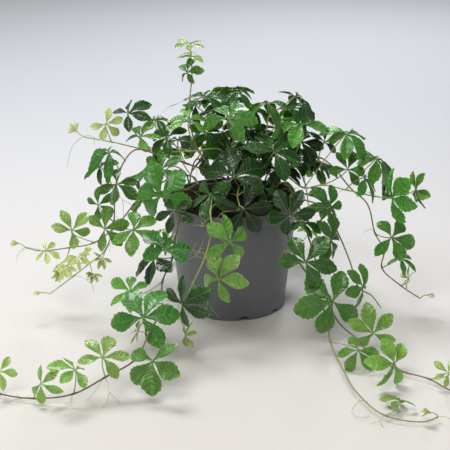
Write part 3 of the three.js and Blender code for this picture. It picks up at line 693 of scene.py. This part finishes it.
def rearVine():
    look = rearLook
    leaves = []
    for k, bearing in enumerate(look["bearings"]):
        node = 0.4 + 2.6 * k / (len(look["bearings"]) - 1)
        away = draw(look["away"]) - 2.5 * k
        at = Vector(look["path"][math.floor(node + 0.5)]) + heading(bearing) * away
        at.z += draw(look["above"])
        long, turn = draw(look["long"]), draw(look["turn"])
        leaves.append((*at, long, 90 + bearing, 35 + 6 * k, turn, node, 0.95 - 0.06 * k))
    return {"root": look["root"], "path": look["path"], "leaves": leaves}


for number, (bearing, leafNodes) in enumerate(backLook["stems"].items(), 1):
    stems["back_" + str(number)] = backVine(bearing, leafNodes)
stems["crown_rear"] = rearVine()

# old leaves inside the crown, by rule, wherever there is room between the others

innerLeaves = {
    "vines": ["crown_left", "crown_front", "crown_mid", "crown_right", "crown_back", "crown_rear"],
    "tries": 7, "away": (10, 30), "above": (0, 10), "long": (17, 25), "lift": (40, 80),
    "turn": (-60, 60), "age": (0.9, 1.0), "clear": 12, "frontmost": -8, "lowest": 114, "seed": 12,
}


def fillCrown():
    look = innerLeaves
    rand = random.Random(look["seed"])
    hubs = [Vector(leaf[:3]) for vine in stems.values() for leaf in vine["leaves"]]
    for vine in [stems[name] for name in look["vines"] for _ in range(look["tries"])]:
        node, bearing = rand.randrange(len(vine["path"])), rand.uniform(0, 360)
        at = Vector(vine["path"][node]) + heading(bearing) * rand.uniform(*look["away"])
        at.z += rand.uniform(*look["above"])
        long, lift = rand.uniform(*look["long"]), rand.uniform(*look["lift"])
        turn, age = rand.uniform(*look["turn"]), rand.uniform(*look["age"])
        near = min((at - hub).length for hub in hubs)
        if near >= look["clear"] and at.y >= look["frontmost"] and at.z >= look["lowest"]:
            hubs.append(at)
            vine["leaves"].append((*at, long, 90 + bearing, lift, turn, node, age))


fillCrown()


# the soil's top, which the stems rise from

soilLook = {
    "edge": 97, "heap": 11, "across": 60, "clumpAt": (38, 6), "clumpHeight": 9, "clumpSpread": 22,
}


def soilTop(x, y):
    look = soilLook
    r = min(math.hypot(x, y) / look["across"], 1)
    lumps = 1.1 * math.sin(0.21 * x + 1.3) * math.cos(0.26 * y)
    lumps += 0.7 * math.sin(0.47 * x - 0.39 * y)
    off = math.hypot(x - look["clumpAt"][0], y - look["clumpAt"][1]) / look["clumpSpread"]
    clump = look["clumpHeight"] * math.exp(-off * off)
    return look["edge"] + (look["heap"] + lumps) * (1 - r * r) + clump


# curves

class SmoothPath:
    # a centripetal spline through points, read by a share from 0 to 1

    def __init__(self, points):
        self.points = [Vector(p) for p in points]
        self.last = len(points) - 1

    def at(self, share):
        points, place = self.points, max(0.0, min(1.0, share)) * self.last
        i = min(int(place), self.last - 1)
        t, b, c = place - i, points[i], points[i + 1]
        a = points[i - 1] if i > 0 else b * 2 - c
        d = points[i + 2] if i + 2 <= self.last else c * 2 - b
        pairs = ((a, b), (b, c), (c, d))
        before, middle, after = [max((q - p).length, 1e-6) ** 0.5 for p, q in pairs]
        leave = ((b - a) / before - (c - a) / (before + middle) + (c - b) / middle) * middle
        reach = ((c - b) / middle - (d - b) / (middle + after) + (d - c) / after) * middle
        bend = -3 * b + 3 * c - 2 * leave - reach
        return b + leave * t + bend * t * t + (2 * b - 2 * c + leave + reach) * t ** 3

    def sampled(self, spacing):
        count = 4 * self.last
        places = [self.at(k / count) for k in range(count + 1)]
        length = sum((b - a).length for a, b in zip(places, places[1:]))
        steps = max(2, math.ceil(length / spacing))
        return [k / steps for k in range(steps + 1)]


def bezier(a, b, c, t):
    return a * (1 - t) ** 2 + b * (2 * t * (1 - t)) + c * t * t


# skeletons: leaflet points and stalk lines that the tree grows on

growth = {
    "rootDepth": 9, "stemRadius": 0.82, "tipRadius": 0.52, "petioleRadius": 0.5, "knuckle": 0.55,
    "knuckleReach": 2.2, "stemSpacing": 2.2, "petioleSteps": 10, "petioleDrop": 0.34,
    "petioleLean": 0.22, "usualBark": (0.8, 0.15), "usualArch": 0.3, "arches": (0.5, 1.7),
    "twist": 0.8, "reaches": (0.97, 1.03),
    "headings": (0, 60, 122, -122, -60), "shares": (1, 0.92, 0.82, 0.82, 0.92),
    "youngLeaf": 14, "budLeaf": 8, "budClosing": 62, "budFan": 0.55, "looseness": 7.0,
    "slimLeaf": 9, "broadLeaf": 31, "slim": 0.64, "broad": 1.12, "folds": (0.8, 1.7),
    "stalkSides": 8, "wave": 0.04, "waveLength": 11, "edgeWave": 0.3, "edgeWaveLength": 4.5,
    "lowest": 0.2, "tendrilRadius": 0.24, "tendrilTip": 0.12, "tendrilAge": 0.25,
    "tendrilShare": 0.4, "tendrilReach": (12, 24),
}


class Skeleton:
    # what a point carries where nothing else is given
    usual = {"leaflet": False, "turn": (0, 0, 0), "face": (0, 0, 0), "size": (0, 0, 0), "long": 0.0,
             "arch": 0.0, "twist": 0.0, "age": 0.0, "tint": 0.5, "radius": 0.0}

    def __init__(self):
        self.places, self.links = [], []
        self.values = {label: [] for label in self.usual}

    def point(self, place, **given):
        for label, value in {**self.usual, **given}.items():
            self.values[label].append(value)
        self.places.append(Vector(place) * mm)

    def line(self, places, radii, ages, tint=0.5):
        first = len(self.places)
        for place, radius, age in zip(places, radii, ages):
            self.point(place, radius=radius * mm, age=age, tint=tint)
        self.links += [(first + k, first + k + 1) for k in range(len(places) - 1)]

    def build(self, name):
        mesh = bpy.data.meshes.new(name)
        mesh.from_pydata(self.places, self.links, [])
        for label, values in self.values.items():
            if isinstance(self.usual[label], tuple):
                layer = mesh.attributes.new(label, "FLOAT_VECTOR", "POINT")
                layer.data.foreach_set("vector", [c for v in values for c in v])
            else:
                kind = "BOOLEAN" if label == "leaflet" else "FLOAT"
                mesh.attributes.new(label, kind, "POINT").data.foreach_set("value", values)
        return addObject(name, mesh)


def leafAxes(side, lift, turn):
    a, e, t = math.radians(side), math.radians(lift), math.radians(turn)
    face = Vector((math.sin(a) * math.cos(e), -math.cos(a) * math.cos(e), math.sin(e)))
    down = Vector((math.sin(a) * math.sin(e), -math.cos(a) * math.sin(e), -math.cos(e)))
    middle = down * math.cos(t) + face.cross(down) * math.sin(t)
    return face, middle, face.cross(middle)


def placeLeaf(skeleton, leaf, stemPoint, rand):
    look = growth
    x, y, z, long, side, lift, turn, _, age = leaf[:9]
    arch = leaf[9] if len(leaf) > 9 else look["usualArch"]
    face, middle, left = leafAxes(side, lift, turn)
    hub, tint, loose = Vector((x, y, z)), rand.random(), look["looseness"]
    grown = (long - look["slimLeaf"]) / (look["broadLeaf"] - look["slimLeaf"])
    breadth = mix(look["slim"], look["broad"], max(0.0, min(1.0, grown)))
    foldShare = rand.uniform(*look["folds"])
    young = (look["youngLeaf"] - long) / (look["youngLeaf"] - look["budLeaf"])
    young = max(0.0, min(1.0, young))
    for leafletHeading, share in zip(look["headings"], look["shares"]):
        fan = leafletHeading * (1 - look["budFan"] * young)
        h = math.radians(fan + rand.uniform(-loose, loose))
        pitch = math.radians(look["budClosing"] * young + rand.uniform(-loose, loose))
        roll = math.radians(rand.uniform(-loose, loose) * 1.5)
        ahead = middle * math.cos(h) + left * math.sin(h)
        across = left * math.cos(h) - middle * math.sin(h)
        up = face * math.cos(pitch) - ahead * math.sin(pitch)
        ahead = ahead * math.cos(pitch) + face * math.sin(pitch)
        across, up = (across * math.cos(roll) + up * math.sin(roll),
                      up * math.cos(roll) - across * math.sin(roll))
        turned = Matrix((ahead, across, up)).transposed().to_euler()
        reach = long * share * rand.uniform(*look["reaches"]) * mm
        skeleton.point(
            hub + ahead * 0.3, leaflet=True, turn=turned, face=up, long=reach,
            size=(reach, reach * breadth, reach * foldShare),
            arch=arch * rand.uniform(*look["arches"]),
            twist=rand.uniform(-1, 1) * look["twist"], age=age, tint=tint)
    # the leaf's own stalk, a little thicker at both ends
    span = (hub - stemPoint).length
    bend = hub - face * (look["petioleDrop"] * span) - middle * (look["petioleLean"] * span)
    steps = look["petioleSteps"]
    shares = [k / steps for k in range(steps + 1)]
    usual = look["petioleRadius"] * (0.6 + 0.4 * min(long / 20, 1))
    radii = [usual * (1 + 0.45 * math.exp(-(t * span / 1.5) ** 2)
                      + 0.5 * math.exp(-((1 - t) * span / 2) ** 2)) for t in shares]
    places = [bezier(hub + face * 0.5, bend, stemPoint, t) for t in shares]
    skeleton.line(places, radii, [0.05 + 0.35 * age] * (steps + 1), tint)


def addTendril(skeleton, points):
    path = SmoothPath(points)
    shares = path.sampled(growth["stemSpacing"])
    radii = [mix(growth["tendrilRadius"], growth["tendrilTip"], t) for t in shares]
    skeleton.line([path.at(t) for t in shares], radii, [growth["tendrilAge"]] * len(shares))


def forkedTendril(skeleton, start, away, rand):
    # a thin stalk that leaves a node, sags and forks into two curled arms
    reach, rise = rand.uniform(*growth["tendrilReach"]), Vector((0, 0, 1))
    beside = away.cross(rise).normalized()
    fork = start + away * (reach * 0.5) + rise * rand.uniform(-3, 4)
    fork.z = max(fork.z, 2)
    addTendril(skeleton, [start, start.lerp(fork, 0.5) + rise * 1.5, fork])
    for hand in (-1, 1):
        side = beside * (hand * rand.uniform(2, 5))
        middle = fork + away * (reach * 0.3) + side + rise * rand.uniform(-3, 1)
        end = middle + away * rand.uniform(-1, 5) + side + rise * rand.uniform(-7, 1)
        middle.z, end.z = max(middle.z, 1.5), max(end.z, 1)
        addTendril(skeleton, [fork, middle, end])


def growVine(name, vine, rand):
    look, skeleton = growth, Skeleton()
    x, y = vine["root"]
    ground = soilTop(x, y)
    roots = [(x, y, ground - look["rootDepth"]), (x, y, ground + 1)]
    path = SmoothPath([*roots, *vine["path"]])
    shares = path.sampled(look["stemSpacing"])
    places = [path.at(t) for t in shares]
    knots = [path.at((leaf[7] + len(roots)) / path.last) for leaf in vine["leaves"]]
    radii = []
    for place, t in zip(places, shares):
        near = min((place - knot).length for knot in knots)
        swell = look["knuckle"] * math.exp(-(near / look["knuckleReach"]) ** 2)
        radii.append(mix(look["stemRadius"], look["tipRadius"], t) * (1 + swell))
    radii[-1] *= 0.5
    bark = vine.get("bark", look["usualBark"])
    skeleton.line(places, radii, [mix(*bark, t) for t in shares])
    for leaf, knot in zip(vine["leaves"], knots):
        placeLeaf(skeleton, leaf, knot, rand)
    for points in vine.get("tendrils", []):
        addTendril(skeleton, points)
    thinRand = random.Random(name)
    for leaf, knot in zip(vine["leaves"], knots):
        if leaf[7] > 0 and thinRand.random() < look["tendrilShare"]:
            away = knot - Vector(leaf[:3])
            away.z *= 0.3
            forkedTendril(skeleton, knot, away.normalized(), thinRand)
    piece = skeleton.build("leafyStem_" + name)
    runTree(piece, vineTree, {
        "Leaflet": leaflet, "Leaf Skin": leafSkin, "Stalk Skin": stalkSkin,
        "Stalk Sides": look["stalkSides"], "Wave": look["wave"], "Edge Wave": look["edgeWave"],
        "Wave Length": look["waveLength"] * mm, "Edge Wave Length": look["edgeWaveLength"] * mm,
        "Lowest": look["lowest"] * mm})
    # only what the finishes read stays on the mesh
    spent = {*Skeleton.usual, "along", "beside"} - {"age", "tint"}
    layers = piece.data.attributes
    for label in [layer.name for layer in layers if layer.name in spent]:
        layers.remove(layers[label])
    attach(piece, "root")
    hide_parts("vine_" + name)


leaflet = leafletPattern()
vineTree = growTree()
leafRand = random.Random(31)
for stemName, vine in stems.items():
    growVine(stemName, vine, leafRand)
bpy.data.objects.remove(leaflet)
print("leafy stems grown:", len(stems))

# pot

potLook = {
    "height": 100, "topRadius": 60, "baseRadius": 48, "wall": 1.6, "rimBand": 11, "rimStep": 1.3,
    "foot": 2.4, "floor": 2.0, "pad": 10, "footBand": 6.0, "footStep": 0.35, "segments": 144,
    "drainHoles": 5, "drainRadius": 4.0, "drainRing": 28,
    "notches": 9, "notchRadius": 5.0, "notchDrop": 1.0, "notchDepth": 14, "notchTurn": 0.05,
    "colour": (109, 111, 120), "dust": (128, 120, 110), "roughness": 0.42,
    "rimDust": 0.3, "footDust": 0.5, "relief": 0.12, "reliefDepth": 0.0004,
}


def filleted(corners, steps=5):
    # a profile of (radius, height, rounding) with its corners rounded
    profile = []
    for i, (r, z, rounding) in enumerate(corners):
        corner = Vector((r, z))
        if rounding == 0:
            profile.append(corner)
            continue
        start, end = [corner + (Vector(corners[n][:2]) - corner).normalized() * rounding
                      for n in (i - 1, i + 1)]
        profile += [bezier(start, corner, end, k / steps) for k in range(steps + 1)]
    return profile


def wallRadius(z):
    look = potLook
    return mix(look["baseRadius"], look["topRadius"] - look["rimStep"], z / look["height"])


def innerRadius(z):
    return wallRadius(z) - potLook["wall"]


def rod(mesh, radius, start, end):
    # adds a round cutter between two points, in millimetres
    start, end = start * mm, end * mm
    turn = (end - start).to_track_quat("Z", "Y").to_matrix().to_4x4()
    bmesh.ops.create_cone(
        mesh, cap_ends=True, segments=32, radius1=radius * mm, radius2=radius * mm,
        depth=(end - start).length, matrix=Matrix.Translation((start + end) / 2) @ turn)


def cutHoles(piece, cutterMesh):
    cutters = addObject("cutters", plainMesh(cutterMesh, "cutters"))
    cut = piece.modifiers.new("cut", "BOOLEAN")
    cut.object, cut.operation, cut.solver = cutters, "DIFFERENCE", "EXACT"
    graph = bpy.context.evaluated_depsgraph_get()
    result = bpy.data.meshes.new_from_object(piece.evaluated_get(graph))
    piece.modifiers.clear()
    piece.data = result
    bpy.data.objects.remove(cutters)


def makePot():
    look = potLook
    height, band = look["height"], look["height"] - look["rimBand"]
    top, base, floor = look["topRadius"], look["baseRadius"], look["foot"] + look["floor"]
    foot, step = look["footBand"], look["footStep"]
    profile = filleted([
        (0, 0, 0), (look["pad"], 0, 0.5), (look["pad"] + 2, look["foot"], 0.5),
        (base - 7, look["foot"], 0.5), (base - 5, 0, 0.4), (base, 0, 0.7),
        (wallRadius(foot), foot, 0.25), (wallRadius(foot) - step, foot + 0.5, 0.25),
        (wallRadius(band), band, 0.5), (top - 0.4, band + 1, 0.6), (top, height - 1.0, 0.45),
        (top - 0.5, height, 0.3), (innerRadius(height), height, 0.4),
        (innerRadius(floor), floor, 2.5), (0, floor, 0)])
    pot = lofted("potBody", [ring(*point, look["segments"]) for point in profile])
    cutters, rise = bmesh.new(), Vector((0, 0, 1))
    for k in range(look["drainHoles"]):
        middle = heading(360 * (k + 0.5) / look["drainHoles"]) * look["drainRing"]
        rod(cutters, look["drainRadius"], middle - rise, middle + rise * (floor + 1))
    low = rise * -look["notchDrop"]
    for k in range(look["notches"]):
        out = heading(360 * (k + look["notchTurn"]) / look["notches"])
        inner, outer = out * (base - look["notchDepth"]) + low, out * (base + 6) + low
        rod(cutters, look["notchRadius"], inner, outer)
    cutHoles(pot, cutters)
    pot.data.shade_smooth()
    pot.data.set_sharp_from_angle(angle=math.radians(40))
    return pot


def potFinish():
    look = potLook
    material, tree, shader = newMaterial("nurseryPlastic")
    base = tree.use(mottle, color=tone(look["colour"]), size=22.0, amount=0.12)
    where = tree.place()
    height = tree.split(where)[2]
    stretched = tree.add("ShaderNodeMapping", {"Vector": where, "Scale": (1, 1, 0.07)})
    flow = tree.cloud(stretched, 240.0, 3.0)
    speck = tree.ramp(tree.cloud(where, 520.0, 5.0, 0.7), 0.52, 0.7)
    rimArea = tree.ramp(height, 0.07, 0.1)
    footArea = tree.ramp(height, 0.0, 0.016, 1.0, 0.0)
    dusty = speck * (rimArea * look["rimDust"] + footArea * look["footDust"]) + 0.03
    tree.feed(shader, {
        "Base Color": tree.blend(dusty, base["Color"], tone(look["dust"])),
        "Roughness": flow * 0.16 + (look["roughness"] - 0.06) + dusty * 0.4})
    grain = tree.use(fineGrain, size=2200.0, softness=0.5)["Height"]
    tree.relief(shader, flow * 0.7 + grain, look["relief"], look["reliefDepth"])
    return material


pot = makePot()
pot.data.materials.append(potFinish())
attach(pot, "root")
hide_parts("pot")
print("pot turned")


# soil

soilBody = {
    "gap": 0.3, "shoulder": 2.2, "rings": 46, "segments": 150, "coarse": 1.5, "coarseSize": 5.0,
    "fine": 0.5, "fineSize": 1.6,
}
crumbLook = {
    "spread": 1700, "smallest": 0.5, "largest": 1.9, "uneven": 0.22, "seed": 7,
    # stretch, bark, bend and drop of a rounded lump, a flat chip of bark and a bent fibre
    "shapes": (((1, 0.85, 0.75), 0, 0, 0), ((1.7, 0.8, 0.3), 1, 0, 0),
               ((3.4, 0.16, 0.16), 0.6, 0.16, 0.5)),
    "dark": (36, 27, 22), "brown": (62, 44, 34), "bark": (84, 52, 40), "pale": (128, 112, 88),
    "roughness": 0.92, "relief": 0.9, "reliefDepth": 0.0012,
}


def soilPoint(x, y, edge):
    look = soilBody
    share = min(1.0, (edge - math.hypot(x, y)) / 4)
    lumps = look["coarse"] * noise.fractal(Vector((x, y, 3)) / look["coarseSize"], 0.7, 2.0, 3)
    lumps += look["fine"] * noise.noise(Vector((x, y, 9)) / look["fineSize"])
    return Vector((x, y, soilTop(x, y) - 0.6 + lumps * share))


def makeSoil():
    look = soilBody
    bottom = potLook["foot"] + potLook["floor"] + look["gap"]
    edge = innerRadius(soilLook["edge"]) - look["gap"]
    lowEdge = innerRadius(bottom) - 2 * look["gap"]
    sides, rings = look["segments"], look["rings"]
    layers = [ring(0, bottom, sides), ring(lowEdge, bottom, sides),
              ring(edge, soilLook["edge"] - look["shoulder"], sides)]
    for k in range(rings + 1):
        circle = ring(edge * (1 - k / rings) - 0.3, 0, sides)
        layers.append([soilPoint(x, y, edge) for x, y, _ in circle])
    soil = lofted("soilBody", layers)
    soil.data.shade_smooth()
    top = soil.data.attributes.new("top", "BOOLEAN", "POINT")
    crown = (soilLook["edge"] - 2) * mm
    top.data.foreach_set("value", [v.co.z > crown for v in soil.data.vertices])
    return soil


def crumbShapes():
    look = crumbLook
    rand = random.Random(5)
    group = bpy.data.collections.new("crumbShapes")
    for kind, (stretch, bark, bend, drop) in enumerate(look["shapes"]):
        mesh, name = bmesh.new(), "crumb" + str(kind)
        bmesh.ops.create_icosphere(mesh, subdivisions=1, radius=1)
        for vert in mesh.verts:
            rough = 1 + rand.uniform(-look["uneven"], look["uneven"])
            vert.co = Vector([c * s * rough for c, s in zip(vert.co, stretch)])
            vert.co.y += bend * vert.co.x ** 2 - drop
        made = plainMesh(mesh, name)
        if bark < 1:
            made.shade_smooth()
        layer = made.attributes.new("bark", "FLOAT", "POINT")
        layer.data.foreach_set("value", [bark] * len(made.vertices))
        group.objects.link(bpy.data.objects.new(name, made))
    return group


def scatterTree():
    tree, given, result = newGroup(
        "scatterCrumbs", "GeometryNodeTree",
        {"Ground": "Geometry", "Shapes": "Collection", "Skin": "Material",
         "Per Square Metre": 100000.0, "Smallest": 0.0005, "Largest": 0.002, "Seed": 0},
        {"Crumbs": "Geometry"})

    def chance(shift, kind="FLOAT", **limits):
        inputs = {"Seed": given["Seed"] + shift, **limits}
        return tree.add("FunctionNodeRandomValue", inputs, data_type=kind)

    spread = tree.geo("DistributePointsOnFaces", {
        "Mesh": given["Ground"], "Selection": tree.readField("top", "BOOLEAN"),
        "Density": given["Per Square Metre"], "Seed": given["Seed"]})
    shapes = tree.geo("CollectionInfo", {
        "Collection": given["Shapes"], "Separate Children": True, "Reset Children": True})
    small = tree.calc("POWER", chance(1.0)[1], 2.2)
    turn = chance(3.0, "FLOAT_VECTOR", Max=(6.283, 6.283, 6.283))
    pick = tree.calc("POWER", chance(4.0)[1], 1.6)
    tinted = tree.geo("StoreNamedAttribute", {
        "Geometry": spread["Points"], "Name": "tint", "Value": chance(2.0)[1]}, data_type="FLOAT")
    placed = tree.geo("InstanceOnPoints", {
        "Points": tinted, "Instance": shapes, "Pick Instance": True,
        "Instance Index": tree.calc("FLOOR", pick * 2.999), "Rotation": turn,
        "Scale": given["Smallest"] + small * (given["Largest"] - given["Smallest"])})
    real = tree.geo("RealizeInstances", {0: placed})
    skinned = tree.geo("SetMaterial", {"Geometry": real, "Material": given["Skin"]})
    tree.feed(result, {"Crumbs": skinned})
    return tree


def soilFinish():
    look = crumbLook
    material, tree, shader = newMaterial("pottingSoil")
    body = tree.use(mottle, color=tone(look["dark"]), size=380.0, amount=0.9)
    tint, bark = tree.read("tint"), tree.read("bark")
    brown = tree.blend(tree.ramp(tint, 0.2, 0.9), body["Color"], tone(look["brown"]))
    barked = tree.blend(bark, brown, tone(look["bark"]))
    palest = bark * tree.ramp(tint, 0.75, 0.95)
    mixed = tree.blend(palest, barked, tone(look["pale"]))
    rubbed = tree.use(mottle, color=mixed, size=900.0, amount=0.7)
    tree.feed(shader, {"Base Color": rubbed["Color"], "Roughness": look["roughness"]})
    grain = tree.use(fineGrain, size=1100.0, softness=0.75)["Height"]
    tree.relief(shader, grain, look["relief"], look["reliefDepth"])
    return material


soil = makeSoil()
soilSkin = soilFinish()
soil.data.materials.append(soilSkin)
crumbs = addObject("soilCrumbs", soil.data.copy())
topArea = math.pi * (potLook["topRadius"] * mm) ** 2
runTree(crumbs, scatterTree(), {
    "Shapes": crumbShapes(), "Skin": soilSkin, "Per Square Metre": crumbLook["spread"] / topArea,
    "Smallest": crumbLook["smallest"] * mm, "Largest": crumbLook["largest"] * mm,
    "Seed": crumbLook["seed"]})
for piece in (soil, crumbs):
    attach(piece, "root")
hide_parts("soil")
print("soil filled and crumbled")


# floor, light and camera

stageLook = {
    # the floor's far colour is darker and cooler: painted shade for the light falling off towards
    # the back
    "nearFloor": (234, 231, 229), "farFloor": (203, 206, 212), "from": -0.35, "to": 0.85,
    "size": 30.0, "roughness": 0.85, "sky": (1.0, 0.965, 0.92), "skyStrength": 0.25,
    # each lamp's place, size, power and colour, and the point that they all face
    "lamps": {
        "keyLamp": ((-0.45, 0.55, 1.4), 0.7, 15.5, (0.99, 0.985, 0.985)),
        "fillLamp": ((-0.35, -1.05, 1.3), 0.75, 9, (1.0, 0.955, 0.885)),
        "sheenLamp": ((0.3, 1.5, 0.9), 0.4, 7.5, (0.92, 0.97, 1.0)),
    },
    "aim": (0, 0, 0.1),
}
cameraLook = {
    "away": 1.25, "lookDown": 19.356, "aimHeight": 0.0738, "aside": -0.00675,
    "focal": 1381.43, "frameWidth": 450, "sensor": 36.0,
}


def makeFloor():
    look = stageLook
    half = look["size"] / 2
    corners = [(-half, -half, 0), (half, -half, 0), (half, half, 0), (-half, half, 0)]
    mesh = bpy.data.meshes.new("floor")
    mesh.from_pydata(corners, [], [(0, 1, 2, 3)])
    floor = addObject("floor", mesh)
    material, tree, shader = newMaterial("paleFloor")
    # darker and cooler towards the back, a painted shade for the light's falloff
    far = tree.ramp(tree.split(tree.place())[1], look["from"], look["to"])
    shade = tree.blend(far, tone(look["nearFloor"]), tone(look["farFloor"]))
    tree.feed(shader, {"Base Color": shade, "Roughness": look["roughness"]})
    mesh.materials.append(material)


def makeLight():
    look = stageLook
    for name, (place, size, power, colour) in look["lamps"].items():
        light = bpy.data.lights.new(name, "AREA")
        light.shape = "DISK"
        light.size, light.energy, light.color = size, power, colour
        lamp = addObject(name, light)
        lamp.location = place
        ahead = Vector(look["aim"]) - Vector(place)
        lamp.rotation_euler = ahead.to_track_quat("-Z", "Y").to_euler()
    world = bpy.data.worlds.new("studio")
    bpy.context.scene.world = world
    world.use_nodes = True
    sky = world.node_tree.nodes["Background"]
    sky.inputs["Color"].default_value = (*look["sky"], 1.0)
    sky.inputs["Strength"].default_value = look["skyStrength"]


def makeCamera():
    # the photograph's viewpoint, from the pot's ellipses and taper
    look = cameraLook
    tilt, away = math.radians(look["lookDown"]), look["away"]
    data = bpy.data.cameras.new("photoCamera")
    data.sensor_width = look["sensor"]
    data.lens = look["focal"] / look["frameWidth"] * look["sensor"]
    camera = addObject("photoCamera", data)
    height = look["aimHeight"] + away * math.sin(tilt)
    camera.location = (look["aside"], -away * math.cos(tilt), height)
    camera.rotation_euler = (math.pi / 2 - tilt, 0, 0)
    bpy.context.scene.camera = camera


makeFloor()
makeLight()
makeCamera()
bpy.context.scene.view_settings.view_transform = "Standard"
print("stage set")
